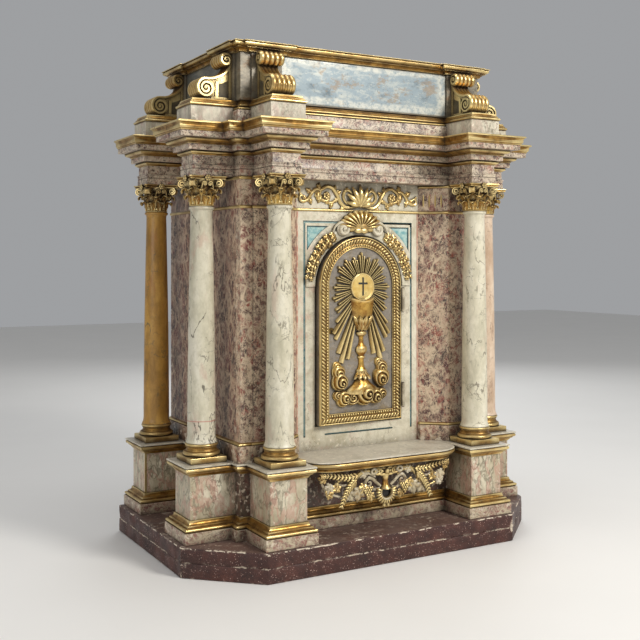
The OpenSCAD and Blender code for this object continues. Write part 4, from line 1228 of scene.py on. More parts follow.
def back_boards(name, x0, x1, z0, z1, count):
    """Upright planks with open joints, nailed along both ends."""
    shape = Shape()
    wide = (x1 - x0) / count
    for i in range(count):
        a, b = x0 + i * wide + 0.9, x0 + (i + 1) * wide - 0.9
        shade = i % 2
        soft_block(shape, a, b, BACK - 20 + 0.3 * shade, BACK - 0.3 - 0.7 * shade, z0, z1, 1.2, 0, 30)
        for z in (z0 + 14, z1 - 14):
            for t in (0.22, 0.78):
                place = put(a + (b - a) * t, BACK - 0.8, z)
                blob(shape, place @ Matrix.Rotation(pi / 2, 4, "X"), 2.2, 2.2, 0.9, 8, 4, 1)
    build(shape, name, "cabinet", [WOOD, IRON], 0.3)


BACK_PANEL, DADO_BACK = Box("back_panel"), Box("dado_back_board")
back_boards("back_panel", BACK_PANEL.x0, BACK_PANEL.x1, BACK_PANEL.z0, BACK_PANEL.z1, 5)
back_boards("dado_back_board", DADO_BACK.x0, DADO_BACK.x1, DADO_BACK.z0, DADO_BACK.z1, 3)


def facade():
    """Cream front of the bay with a sunk pale frame line, teal corner fields, a raised band round
    the arch, a rose line down each edge and a gilt fillet under the frieze. Dark teal paints
    shadow on the walls of the sunk fields and lines and in strips along some of their edges, and
    draws a thin line round the raised band."""
    z0, z1 = FACADE.z0, FACADE.z1
    shape = Shape()
    skin = 2.0
    opening = arched(OPENING_R, NICHE_Z)
    outer = rect(-BAY_X, BAY_X, z0, z1)
    plate(shape, [outer, opening], BAY_Y + skin, FACADE.y1, 1)
    outside, inner, line_top, line_low = 131.5, 127, 663, z0 + 28
    band = outside - inner
    frame_line = [(-outside, line_low), (-inner, line_low), (-inner, line_top - band),
                  (inner, line_top - band), (inner, line_low), (outside, line_low),
                  (outside, line_top), (-outside, line_top)]
    low_line = rect(-82, 82, z0 + 28.5, z0 + 32)
    field_r, field_x, field_top = 143, 123.5, 653
    across = sqrt(field_r ** 2 - (field_top - ARCH_Z) ** 2)
    down = degrees(acos(field_x / field_r))
    top = degrees(acos(across / field_r))
    right_field = [(field_x, field_top), *arc(0, ARCH_Z, field_r, field_r, top, down, 12)]
    holes = [opening, frame_line, low_line, right_field, mirrored(right_field)]
    # The edges of this skin round its holes are dark teal: painted shade in the sunk fields and lines
    plate(shape, [outer, *holes], BAY_Y, BAY_Y + skin, 0, 2)

    def painted_line(x0, x1, low, high, mat=2, front=BAY_Y + 0.6, back=BAY_Y + skin + 0.2):
        plate(shape, [rect(*sorted((x0, x1)), low, high)], front, back, mat)

    field_low = ARCH_Z + field_r * sin(radians(down))
    # Dark teal strips along the top and outer edges of the frame line and corner fields and along the
    # foot of the low line: painted shadow
    painted_line(-outside, outside, line_top - 1.4, line_top)
    painted_line(-82, 82, z0 + 28.5, z0 + 29.8)
    for s in (-1, 1):
        painted_line(s * (outside - 1.4), s * outside, line_low, line_top)
        painted_line(s * (field_x - 2), s * field_x, field_low, field_top)
        painted_line(s * (across + 3), s * field_x, field_top - 2, field_top)
        painted_line(s * (BAY_X - 3), s * BAY_X, z0, LINE_Z, 3, BAY_Y - 0.5, BAY_Y)
    section = [(OPENING_R, BAY_Y + 1), (OPENING_R, BAY_Y - 1.6), (OPENING_R + 1.2, BAY_Y - 2.8),
               (OPENING_R + 3, BAY_Y - 3), (OPENING_R + 17, BAY_Y - 3), (OPENING_R + 20, BAY_Y - 2.6),
               (OPENING_R + 22, BAY_Y - 0.8), (OPENING_R + 22, BAY_Y + 1)]
    rows = []
    for i in range(49):
        a = pi * i / 48
        rows.append([(r * cos(a), y, ARCH_Z + r * sin(a)) for r, y in section])
    shape.grid(rows, wrap=True, caps=True)
    outline_r = OPENING_R + 24
    path = [(x, BAY_Y + 0.2, z) for x, z in arc(0, ARCH_Z, outline_r, outline_r, 2, 178, 60)]
    tube(shape, path, 0.7, 6, 1, mat=2)
    section = arc(BAY_Y + 0.4, LINE_Z + 3, -4.2, 3, -90, 90, 8)
    rows = [[(x, y, z) for y, z in section] for x in (-BAY_X, -BAY_X / 2, 0, BAY_X / 2, BAY_X)]
    shape.grid(rows, wrap=True, caps=True, mat=4)

    def pale(c, mat):
        sunk = mat == 1 and (abs(c.x) > 125 or c.z > 655)
        return 5 if sunk else mat

    build(shape, "facade_panel", "cabinet",
          [FACADE_CREAM, TEAL, TEAL_LINE_AND_SHADOW, RED_LINE, MOULD_GOLD, PALE_TEAL], 0.1, pick=pale)


facade()


# ---------- entablature and attic ----------

def entablature():
    """Architrave and frieze in marbled bands, a gilt bed moulding, and a cornice whose corona is
    marbled under a gilt cyma."""
    plan = course_plan(WALL_X, WALL_Y, ARCHITRAVE_HALF)
    z = WALL_TOP
    shape = Shape()
    course(shape, plan, [(-0.8, z, 0), (0, z + 0.8, 0), (0, z + 12, 0), (-1.2, z + 12.6, 0),
                         (-1.2, z + 13.6, 0), (0, z + 14.2, 0), (0, z + 18.4, 0), (1.2, z + 19, 0),
                         (1.2, z + 20.4, 0), (-1.6, z + 21.4, 0), (-2, z + 22.4, 0), (-2, z + 39, 0)],
           on_back, back=BACK)
    build(shape, "architrave_frieze", "cabinet", [ENTABLATURE, WOOD_ACROSS],
          pick=bare_back(1))
    z = BED.z0
    shape = Shape()
    course(shape, plan, [(-1.4, z, 1), (0, z + 0.4, 1), (0.6, z + 1.6, 1), (1.8, z + 1.8, 1),
                         *faced(1, arc(0.2, z + 5.2, 4.6, 3.2, -60, 78, 6)),
                         (2.4, z + 8.2, 0), (10.6, z + 8.6, 0), (11, z + 9.4, 0), (11, z + 19, 1),
                         (11.8, z + 19.6, 1), (12.8, z + 20.2, 1), (12.8, z + 21.6, 1),
                         (13.8, z + 22, 1),
                         *faced(1, arc(13.6, z + 28.4, 8.4, 6, -86, -6, 6)),
                         (22, z + 29, 1), (21.4, z + 30, 1)], on_back, back=BACK)
    build(shape, "cornice_bed", "cabinet", [ENTABLATURE, MOULD_GOLD, WOOD_ACROSS],
          pick=bare_back(2))
    z = CORONA.z0
    reach = 45
    cyma = [(reach - 7.6, z + 10.8), (reach - 7, z + 11.2), (reach - 7, z + 12.6),
            *arc(reach - 7, z + 16.4, 2.6, 3.2, -80, 0, 4),
            *arc(reach - 0.4, z + 19.4, -4, 5, -20, 60, 5),
            (reach - 1.8, z + 24.4), (reach, z + 24.8), (reach, z + 26.8)]
    shape = Shape()
    course(shape, plan, [(reach - 11, z, 0), (reach - 9.4, z + 0.2, 0), (reach - 9, z + 1, 0),
                         (reach - 9, z + 10, 1), *faced(1, cyma),
                         (reach - 1, z + 28, 2)], on_back, back=BACK)
    build(shape, "cornice_corona", "cabinet",
          [ENTABLATURE, MOULD_GOLD, SHELF_STONE, WOOD_ACROSS], pick=bare_back(3))


entablature()


def attic_base():
    """Band of the attic: marbled between cream blocks that carry the brackets, with a gilt mould."""
    z = ATTIC_BASE.z0
    half = ATTIC_BASE.x1 - SIDE_X
    shape = Shape()
    plan = course_plan(ATTIC_X, ATTIC_Y, half)
    top = z + 34
    course(shape, plan, [(-0.8, z, 0), (0, z + 0.8, 0), (0, top - 0.8, 0), (-0.8, top, 0),
                         (1.2, top + 0.4, 1), *faced(1, arc(-0.6, top + 3.6, 2.8, 2.8, -70, 76, 6)),
                         (-1.2, top + 7, 1), (-1.2, top + 8.4, 1), (-1.8, top + 9, 1),
                         *faced(1, arc(-1.8, top + 14, -2.4, -4.6, 90, 10, 4)),
                         (-5, top + 15, 1)], on_back, back=BACK)
    rear = BACK - 0.6
    body = [(-ATTIC_X, rear), (-ATTIC_X, ATTIC_Y), (ATTIC_X, ATTIC_Y), (ATTIC_X, rear)]
    course(shape, body, [(9.2, z, 2), (10, z + 0.8, 2), (10, top - 7, 2), (9.4, top - 6.2, 2),
                         (7.6, top - 5.6, 1),
                         *faced(1, arc(5, top - 3, 3.2, 2.4, -70, 70, 5)),
                         (4.4, top, 1), (0, top + 0.6, 1)],
           lambda a, b: min(a.y, b.y) > rear - 0.1)
    build(shape, "attic_base", "cabinet",
          [ATTIC_CREAM, MOULD_GOLD, ENTABLATURE, WOOD_ACROSS], pick=bare_back(3))


attic_base()


def attic_carcass():
    """Silvered walls with pilaster strips behind the brackets and a framed field between them."""
    z0, z1 = ATTIC.z0, ATTIC.z1
    shape = Shape()
    strip, out = 32, 4
    course(shape, attic_plan(strip, out), [(0, z0 + (z1 - z0) * i / 4, 0) for i in range(5)], on_back,
           back=BACK)

    def field(x0, x1, mat, place_point):
        """A thin panel on the wall that place_point puts it on."""
        rows = []
        for inset, rise in ((0, 0), (0.2, 0.8), (0.8, 1.1), (3, 1.1)):
            line = rect(x0 + inset, x1 - inset, z0 + 2 + inset, z1 - 2 - inset, 1e6)
            rows.append([place_point(a, h, rise) for a, h in line])
        shape.grid(rows, wrap=True, mat=mat)
        shape.add(rows[-1], [(0, 1, 2, 3)], mat)

    gap = FRONT_X - strip - 1.5
    field(-gap, gap, 1, lambda a, h, rise: (a, ATTIC_Y - rise, h))
    y0, y1 = SIDE_Y + strip + 1.5, REAR_Y - strip - 1.5
    for s in (-1, 1):
        field(y0, y1, 3, lambda a, h, rise, s=s: (s * (ATTIC_X + rise), a, h))

    build(shape, "attic_carcass", "cabinet",
          [SILVER, SILVER_PANEL, WOOD_ACROSS, SHADED_SIDE_SILVER], 0.15, pick=bare_back(2))


attic_carcass()


def attic_crown():
    z = CROWN.z0
    reach = CROWN.x1 - ATTIC_X - 6
    profile = [(reach - 17, z, 0), (reach - 16, z + 0.4, 0),
               *faced(0, arc(reach - 10.6, z + 0.6, -5.4, 5.6, 0, 78, 5)),
               (reach - 10.4, z + 6.6, 0), (reach - 9.2, z + 7, 0), (reach - 9.2, z + 8.4, 0),
               *faced(0, arc(reach - 8.4, z + 13.6, 6.6, 5, -78, 40, 6)),
               (reach - 2, z + 16.4, 0), (reach - 0.4, z + 16.8, 0), (reach, z + 17.6, 0),
               (reach, z + 18, 0), (reach - 1.4, z + 18.8, 1), (reach - 22, z + 19, 1)]
    shape = Shape()
    course(shape, attic_plan(36, 6), profile, on_back, 14, BACK)
    front, boards = ATTIC_Y - reach + 2.5, 4
    deep = (BACK - 0.5 - front) / boards
    for i in range(boards):
        y = front + i * deep
        soft_block(shape, -ATTIC_X - reach + 2.5, ATTIC_X + reach - 2.5, y + 0.7, y + deep - 0.7,
                   z + 12, z + 19.4 + 0.5 * (i % 2), 0.8, 1, 40)
    build(shape, "attic_crown", "cabinet", [MOULD_GOLD, WOOD_ACROSS], pick=bare_back(1))


attic_crown()


def bracket(shape, place):
    """A scrolled bracket against the plane x = 0, reaching out along local x: a reeded band that
    rolls up small at the head and large at the foot, over a solid core."""
    tall = ATTIC.z1 - ATTIC.z0
    foot_at, foot_r, head_r = 54.0, 21.5, 12.0
    head_at, head_z = 13.0, tall - 12.6
    head = spiral(head_at, head_z, 2.4, head_r - 1.2, 180 - 360 * 1.5, 1.5, 26)
    start = head_at - head_r + 1.2
    neck = arc(foot_at, head_z, foot_at - start, head_z - 2 * foot_r + 1.5, 180, 270, 16)
    foot = spiral(foot_at, foot_r, foot_r - 1.4, 3.2, 90, -2.3, 26)
    line = head[:-1] + neck[:-1] + foot
    count = len(line)
    reeds, per = 5, 6
    rows = []
    for i, (u, h, nx, nz) in enumerate(ribbon(line)):
        t = i / (count - 1)
        waist = exp(-((i - len(head) - 6) / 9.0) ** 2)
        half = 26.5 - 2.5 * t - 5.0 * waist
        thick = 3.4 * min(1.0, 0.45 + 4 * min(t, 1 - t))
        # The head turns its outer side where the foot turns its inner side, so both are reeded
        face, under = [], []
        for j in range(reeds * per + 1):
            v = -1 + 2 * j / (reeds * per)
            ridge = 1.9 * abs(sin(pi * reeds * (v + 1) / 2)) ** 0.8
            face.append((v * half, ridge))
            under.append((v * half, -thick - (ridge if i < len(head) + 2 else 0.2)))
        rows.append([(u + nx * s, w, h + nz * s) for w, s in face + under[::-1]])
    shape.grid(rows, wrap=True, caps=True, place=place)

    def core(points, half, mat=0):
        n = len(points)
        verts = [(u, w, h) for w in (-half, half) for u, h in points]
        tris = tessellate_polygon([[Vector((u, h, 0)) for u, h in points]])
        faces = [tuple(t) for t in tris] + [tuple(n + k for k in t) for t in tris]
        faces += [(j, (j + 1) % n, n + (j + 1) % n, n + j) for j in range(n)]
        shape.add(verts, faces, mat, place)

    core(arc(foot_at, foot_r, foot_r - 3, foot_r - 3, 0, 345, 23), 21.0)
    core(arc(head_at, head_z, head_r - 2.4, head_r - 2.4, 0, 345, 23), 22.5)
    web = [(0, 0), (foot_at, 0.6), (foot_at - 6, foot_r * 2 - 3), *neck[::-1][2:-1], (0.5, head_z)]
    core([(u, h) for u, h in web], 18)
    # Sunk dark field between the foot roll, the neck and the wall, in a gilt frame
    core([(6, 6), (foot_at - 24, 6), (foot_at - 26, 30), (9, 37), (6, 40)], 18.6, 1)
    core([(0, 0), (foot_at - 10, 0), (foot_at - 12, 6), (0, 6)], 20.5)
    core([(0, 4), (6, 4), (6, head_z - 6), (0, head_z - 6)], 20.5)
    core([(foot_at - 26, 4), (foot_at - 20, 4), (foot_at - 21, 36), (foot_at - 27, 36)], 20.5)
    for u, h, r, half in ((foot_at, foot_r, 4.6, 21.5), (head_at, head_z, 3.4, 23.5)):
        for s in (-1, 1):
            blob(shape, place @ put(u, s * half, h), r, 2.6, r, 12, 6)


def brackets(name, spots):
    shape = Shape()
    for x, y, heading in spots:
        bracket(shape, put(x, y, ATTIC.z0) @ Matrix.Rotation(heading, 4, "Z"))
    build(shape, name, "cabinet", [WORN_GOLD, BRACKET_DARK], 0.2)


brackets("volutes_front", [(s * FRONT_X, ATTIC.y0, -pi / 2) for s in (-1, 1)])
brackets("volutes_side", [(s * ATTIC.x1, y, 0 if s > 0 else pi)
                          for s in (-1, 1) for y in (SIDE_Y, REAR_Y)])


# ---------- carved ornament ----------

def wall_curve(points, y, steps=6):
    """A smooth path on the wall at depth y through (x, z) points; a third number adds depth."""
    return [(p[0], y - p[2], p[1]) for p in
            curve([(*q, 0.0) if len(q) == 2 else q for q in points], steps)]


def stem(shape, points, y, thick, taper=0.35, mat=0, curl=None):
    """A carved stem, thin at its start and end, with a raised line down its middle. curl adds a
    spiral end: (centre x, centre z, radius, start angle, turns)."""
    path = wall_curve(points, y)
    if curl:
        cx, cz, r, start, turns = curl
        path += [(x, y, z) for x, z in spiral(cx, cz, r, 1.0, start, turns, 14)[1:]]

    def radius(t):
        return thick * (taper + (1 - taper) * sin(pi * min(1.0, 0.12 + t * 0.9)) ** 0.7)

    tube(shape, path, radius, 8, 0.85, mat=mat)
    ridge = [(x, yy - thick * 0.62, z) for x, yy, z in path[1:-1]]
    tube(shape, ridge, lambda t: 0.28 * thick * sin(pi * min(1, t + 0.1)) + 0.12, 5,
         mat=mat)


def sprig(shape, x, y, z, turn, size):
    """A leaf lying on the wall."""
    leaf(shape, relief_place(x, y, z, turn), size, size * 0.62, 0.25, -0.7, 3, 0.28,
         max(1.0, size * 0.07), 10, 3)


def flower(shape, x, y, z, size, petals):
    for k in range(petals):
        leaf(shape, relief_place(x, y - 0.4, z, 90 + 360 * k / petals), size, size * 0.78, 0.55,
             -0.9, 1, 0.1, 1.2, 6, 2)
    blob(shape, put(x, y - size * 0.3, z), size * 0.26, size * 0.26, size * 0.26, 8, 5)


def bay_ornament():
    """Palmette between scrolling stems that end in flowers, on the frieze of the bay."""
    shape = Shape()
    y = BAY_Y - 1.6
    foot = LINE_Z + 14
    for k in range(7):
        turn = 90 + 25 * (k - 3)
        size = 46 - 2.4 * abs(k - 3) ** 1.5
        petal = relief_place(0, y - 0.5, foot - 2, turn)
        path = [petal @ Vector((u, 0, 1.5 + 4.5 * sin(pi * u / size)))
                for u in (size * i / 12 for i in range(13))]
        tube(shape, path,
             lambda t: 0.9 + 4.6 * sin(pi * min(0.93, t * 0.8 + 0.08)) ** 1.6, 8, 0.8)
    for s in (-1, 1):
        for points, thick, taper, curl in (
                ([(4, 695), (18, 693), (34, 692), (47, 702), (54, 716), (65, 730), (79, 733),
                  (92, 725)], 4.3, 0.5, (s * 81, 715, 16, way(s, 35), -s * 1.15)),
                ([(48, 706), (56, 707), (66, 701), (78, 700)], 3.2, 0.35, None),
                ([(16, 717), (28, 727), (37, 722), (39, 711), (32, 701), (20, 697)], 3.6, 0.5, None),
                ([(92, 724), (103, 727), (113, 719), (122, 706), (133, 701)], 3.7, 0.5,
                 (s * 135, 709, 8, 270, s * 0.9))):
            stem(shape, sided(s, points), y, thick, taper, curl=curl)
        flower(shape, s * 80, y - 1, 714, 9.5, 6)
        for x, z, *radii in ((20, 713, 4.2, 3.4, 5.2, 9, 6), (9, 694, 4.6, 3.4, 3.2, 9, 6),
                             (140, 716, 3.0, 2.6, 3.6, 8, 5)):
            blob(shape, put(s * x, y - 1, z), *radii)
        for x, z, turn, size in ((56, 718, 150, 13), (60, 724, 95, 12), (52, 712, -60, 12),
                                 (92, 724, 55, 15), (99, 727, 105, 13), (100, 724, -95, 20),
                                 (92, 716, -70, 17), (113, 719, 30, 15), (119, 710, -110, 14),
                                 (36, 692, -25, 13), (66, 702, -70, 14), (73, 700, 20, 13),
                                 (126, 703, 60, 12), (34, 724, 120, 10)):
            sprig(shape, s * x, y - 0.6, z, way(s, turn), size * 1.15)
    for k in range(3):
        blob(shape, put(6 * (k - 1), y - 3, 697 - 2 * (k % 2)), 3.2, 3, 3.4, 8, 5)
    build(shape, "bay_ornament", "cabinet", [GOLD], 0.3, 50)


bay_ornament()


def arch_crest():
    """Scallop shell over the arch, a cream scroll on each side, and leaf garlands down the band."""
    shape = Shape()
    y, foot = BAY_Y - 1, ARCH_Z + OPENING_R + 8
    flutes, rings = 11, 14
    per = 6
    heart = foot + 6
    rows, under = [], []
    for i in range(rings + 1):
        t = i / rings
        row, low = [], []
        for j in range(flutes * per + 1):
            v = j / (flutes * per)
            a = radians(2 + 176 * v)
            wave = abs(sin(pi * flutes * v)) ** 0.8
            reach = 0.10 + 0.90 * t * (0.92 + 0.08 * wave)
            bulge = 3 + 10.5 * sin(pi * min(1.0, 0.12 + 0.76 * t)) * (0.66 + 0.34 * wave)
            x, z = 51 * reach * cos(a), heart + 37 * reach * sin(a)
            row.append((x, y - bulge, z))
            low.append((x, y + 0.5, z))
        rows.append(row)
        under.append(low)
    shape.grid(rows)
    rim = [rows[-1], under[-1]]
    shape.grid(rim)
    shape.grid([[r[0] for r in rows], [u[0] for u in under]])
    shape.grid([[r[-1] for r in rows], [u[-1] for u in under]])
    shape.grid(under)
    shape.grid([rows[0], under[0]])
    for s in (-1, 1):
        blob(shape, put(s * 10, y - 6.5, foot + 11), 13, 3.6, 9, 14, 9)
        blob(shape, put(s * 7, y - 7.5, foot + 1), 10, 3.4, 6, 12, 7)
        blob(shape, put(s * 22, y - 4, foot + 6), 12, 5.5, 8, 12, 7)
        # Cream scroll growing out of the raised band and curling in beside the shell
        cx, cz = s * 42, foot + 4
        roll = [(s * 66, foot - 3), (s * 60, foot + 9), (s * 51, foot + 16)]
        path = wall_curve(roll, y - 4)
        path += [(x, y - 4 - 4 * i / 30, z) for i, (x, z) in
                 enumerate(spiral(cx, cz, 14.5, 2.6, way(s, 56), s * 1.4, 22)[1:])]
        tube(shape, path, lambda t: 1.2 + 2.9 * min(1.0, 2.5 * t), 10, 1.2, mat=1)
        blob(shape, put(cx, y - 3, cz), 14.5, 6, 14.5, 20, 8, 1)
        blob(shape, put(cx, y - 10, cz), 3.4, 2.4, 3.4, 10, 6, 1)
        # Garland: overlapping leaves and berries, tapering downwards
        count = 9
        for i in range(count):
            share = i / (count - 1)
            deg = 60 - 49 * share
            size = (19 - 7 * abs(share - 0.35)) * (0.88 + 0.24 * (0.5 + 0.5 * sin(7.7 * i)))
            a = radians(deg)
            r = 118.5
            x, z = s * r * cos(a), ARCH_Z + r * sin(a)
            down = deg - 90
            for side_turn, off in ((-36, 3.6), (22, -1.6), (0, 0.8)):
                rr = r + off + 1.2 * sin(5.3 * i + off)
                px, pz = s * rr * cos(a), ARCH_Z + rr * sin(a)
                turn = down - side_turn * (1.0 + 0.3 * sin(3.1 * i + off))
                place = relief_place(px, y - 2.6 - 1.6 * (side_turn == 0), pz, way(s, turn))
                leaf(shape, place, size, size * 0.62, 0.42, -0.75, 3, 0.34, 1.6, 12, 3, 2)
            if i % 2:
                for k in (-1, 1):
                    px, pz = x + 3 * k * cos(a), z + 3 * k * sin(a)
                    blob(shape, put(px, y - 7, pz), 2.2, 2.2, 2.2, 7, 4, 2)
    build(shape, "arch_crest", "cabinet", [GOLD, GESSO, BRONZE_GOLD], 0.3, 50)


arch_crest()


def wheat(shape, points, y, mat=0, grains=11, size=11.5):
    """An ear of wheat along a line: paired grains and a last one at the tip."""
    path = [Vector(p) for p in wall_curve(points, y, 8)]
    tube(shape, path, 1.3, 6, mat=mat)
    n = len(path) - 1
    for i in range(grains):
        t = 0.06 + 0.92 * i / (grains - 1)
        k = min(n - 1, int(t * n))
        p = path[k].lerp(path[k + 1], t * n - k)
        d = (path[k + 1] - path[k]).normalized()
        heading = degrees(atan2(d.z, d.x))
        grow = 1 - 0.35 * t
        for side_turn in (-42, 42):
            place = relief_place(p.x, p.y - 1.6, p.z, heading + side_turn)
            place = place @ put(size * 0.5 * grow, 0, 0.8)
            blob(shape, place, size * 0.56 * grow, size * 0.25 * grow, size * 0.3 * grow, 7, 6, mat)
        place = relief_place(p.x, p.y - 3.4, p.z, heading) @ put(2, 0, 0)
        blob(shape, place, size * 0.5 * grow, size * 0.2 * grow, size * 0.2 * grow, 6, 5, mat)


def vine_leaf(shape, x, y, z, turn, size, mat):
    """Five pointed lobes from one stalk."""
    for k, (spread, part) in enumerate(((0, 1.0), (48, 0.82), (-48, 0.82), (98, 0.6), (-98, 0.6))):
        leaf(shape, relief_place(x, y - 0.3 * k, z, turn + spread), size * part, size * part * 0.62,
             0.35, -0.95, 2, 0.35, 1.4, 8, 3, mat)


def grapes(shape, x, y, z, size, mat):
    for row in range(5):
        for k in range(5 - row):
            px = x + (k - (4 - row) / 2) * size * 0.42
            pz = z - row * size * 0.36
            blob(shape, put(px, y - 2.5 - 1.2 * ((k + row) % 2), pz),
                 size * 0.25, size * 0.25, size * 0.25, 8, 6, mat)


def shelf_carving():
    """Carving under the shelf: wheat and vine scrolls that spring from a bow above a fluted ring."""
    shape = Shape()
    y, top = Box("shelf_carving").y1 - 5, SHELF.z0 - 3
    gold, pale = 0, 1

    def hung(s, points):
        """Points on side s, given by how far they hang below the top."""
        return sided(s, [(x, top - down) for x, down in points])

    # Fluted ring with its neck and bow
    cz = 125
    for k in range(15):
        a = radians(160 + 220 * k / 14)
        x, z = 15 * cos(a), cz + 15 * sin(a)
        place = relief_place(x, y - 3, z, degrees(a)) @ put(2, 0, 0)
        blob(shape, place, 8.2, 3.1, 4.6, 8, 6, gold)
    ring = [(13.5 * cos(radians(150 + 240 * i / 24)), y - 5,
             cz + 13.5 * sin(radians(150 + 240 * i / 24))) for i in range(25)]
    tube(shape, ring, lambda t: 2.6 * (0.5 + 0.5 * sin(pi * t)), 8, mat=pale)
    # A near-black disc behind the fluted ring: painted shade in the ring's opening
    plate(shape, [arc(0, cz, 13, 13, 0, 345, 23)], y + 1, y + 3, 2)
    for x in (-5, 4):
        blob(shape, put(x, y - 3, cz - 25), 3.4, 3, 5.6, 8, 6, gold)
    lathe(shape, [(8, top - 14), (7, top - 20), (5.4, top - 27), (6, top - 34), (9, top - 40),
                  (12, top - 44)], 0, y + 1, 16, gold)
    for s in (-1, 1):
        for k, (dx, dz, r) in enumerate(((9, -9, 9), (20, -8, 7.5), (30, -7, 6))):
            knot = [(s * dx + r * cos(a), y - 3 - k, top + dz + 0.75 * r * sin(a))
                    for a in around(20)]
            tube(shape, knot + knot[:1], 2.5, 7, mat=gold if k < 2 else pale)
            blob(shape, put(s * dx, y - 2, top + dz), r * 0.55, 2.8, r * 0.4, 8, 5,
                 gold)
    blob(shape, put(0, y - 5, top - 9), 5, 5, 6, 10, 7, gold)
    for s in (-1, 1):
        # Stem that arches out from the bow, and the two ears that it splits into
        stem(shape, hung(s, [(24, 14), (36, 6), (50, 5), (64, 12), (73, 24)]), y, 5.2, 0.5, gold)
        stem(shape, hung(s, [(26, 18), (38, 11), (50, 10), (61, 17)]), y - 2, 2.8, 0.5,
             pale if s < 0 else gold)
        wheat(shape, hung(s, [(64, 10), (86, 13), (110, 9), (134, 5), (147, 5)]), y - 2, gold, 12, 12)
        wheat(shape, hung(s, [(70, 18), (84, 30), (95, 46), (104, 66)]), y - 3, gold, 10, 12)
        # Vines, and their leaves from the outer side inwards
        stem(shape, hung(s, [(147, 8), (143, 24), (132, 38), (116, 46), (102, 50)]), y + 1, 2.6, 0.6,
             gold if s > 0 else pale)
        stem(shape, hung(s, [(78, 22), (90, 28), (104, 27), (114, 19)]), y, 2.4, 0.4, pale)
        for x, out, down, turn, size, mat in (
                (140, 2, 11, 15, 17, gold), (127, 1, 26, -62, 24 if s > 0 else 20, pale),
                (114, 1, 35, 100, 18, gold), (133, 1, 42, 160, 18, gold if s < 0 else pale),
                (88, 1, 44, -125, 22, pale), (104, 2, 15, 70, 17, gold), (76, 2, 28, -20, 18, gold),
                (48, 2, 12, 40, 16, pale), (63, 2, 40, -80, 25, pale), (52, 3, 34, -60, 20, gold)):
            vine_leaf(shape, s * x, y - out, top - down, way(s, turn), size, mat)
        grapes(shape, s * 44, y - 1, top - 38, 12, gold)
        vine_leaf(shape, s * 36, y - 1, top - 52, way(s, -100), 17, gold)
        stem(shape, hung(s, [(12, 38), (22, 30), (31, 22), (40, 20), (47, 27)]), y, 3.4, 0.5, pale,
             (s * 39, top - 30, 9, way(s, 20), -s * 0.9))
        stem(shape, hung(s, [(14, 42), (26, 44), (36, 36)]), y, 2.6, 0.5, pale)
    # A joined backing bar keeps the pierced work in one piece behind the shelf's edge
    plate(shape, [rect(-40, 40, top - 10, top + 1)], y + 2, y + 5, gold)
    build(shape, "shelf_carving", "cabinet", [WORN_GOLD, WORN_PALE, DARK_PAINT], 0.4, 50)


shelf_carving()


# ---------- door ----------

def door_border():
    """Frame of the door: a plain rim, a rounded moulding of slanting leaves and a row of beads."""
    shape = Shape()
    y = DOOR_Y
    section = [(0, 0.2), (0, -3.2), (0.5, -4.2), (1.6, -4.6), (2.8, -4.2), (3.2, -3.2),
               *[(u, d) for u, d in arc(8.4, -1.9, -4.8, -1.3, 0, 180, 8)],
               (13.6, -2.4), (14.4, -2.8), (20, -2.8), (20.8, -3.4), (21.8, -3.2), (22, -2), (22, 0.2)]
    lines = [arched(DOOR_R - u, DOOR_Z + u) for u, _ in section]
    rows = [[(x, y + d, z) for x, z in line] for line, (_, d) in zip(lines, section)]
    shape.grid(rows, wrap=True, loop=True)
    for p, heading in along(arched(DOOR_R - 8.4, DOOR_Z + 8.4), 7.4):
        place = relief_place(p.x, y - 2.9, p.y, heading + 52)
        blob(shape, place, 6.6, 2.5, 2.5, 8, 6)
    for p, _ in along(arched(DOOR_R - 17.4, DOOR_Z + 17.4), 5.8):
        blob(shape, put(p.x, y - 3.0, p.y), 2.5, 2.3, 2.5, 8, 5, 1)
    build(shape, "door_border", "door", [GOLD, BRIGHT_GOLD], 0.15, 50)


door_border()


def door_sunburst():
    """Rays round the host, in groups of three reeds with stepped ends."""
    shape = Shape()
    y = DOOR_Y
    groups, across, apart = 20, 3, 4.9
    for i in range(groups * across):
        k, j = divmod(i, across)
        a = radians(90 + 360 * k / groups + apart * (j - 1))
        c, s = cos(a), sin(a)
        if s < -0.98:
            continue
        reach = min(72 if s > 0.2 else 163, 71 / max(abs(c), 0.01))
        reach *= (0.90, 1.0, 0.93, 0.97, 0.88, 1.0)[(i + 3 * (k % 2)) % 6]
        reach *= (1.0, 0.9, 0.97)[k % 3]
        root = 25
        side = Vector((-s, 0, c))

        def wide(r):
            return min(6.2, 0.041 * r + 0.2)

        rows = []
        for r, lift in ((root, 0.9), (root + 0.35 * (reach - root), 1.0), (reach - 5, 1.0),
                        (reach - 1.2, 0.85), (reach, 0.2)):
            w, h = wide(r) * (0.55 if lift < 0.5 else 1), 6.2 * lift
            mid = Vector((r * c, y, HOST_Z + r * s))
            rows.append([mid + side * w * u + Vector((0, d, 0)) for u, d in (
                (1, 0.2), (0.9, -h * 0.45), (0.25, -h), (-0.25, -h), (-0.9, -h * 0.45), (-1, 0.2))])
        shape.grid(rows, wrap=True, caps=True, mat=i % 2)
    build(shape, "door_sunburst", "door", [RAY_GOLD, BRIGHT_GOLD], 0.15, 35)


door_sunburst()


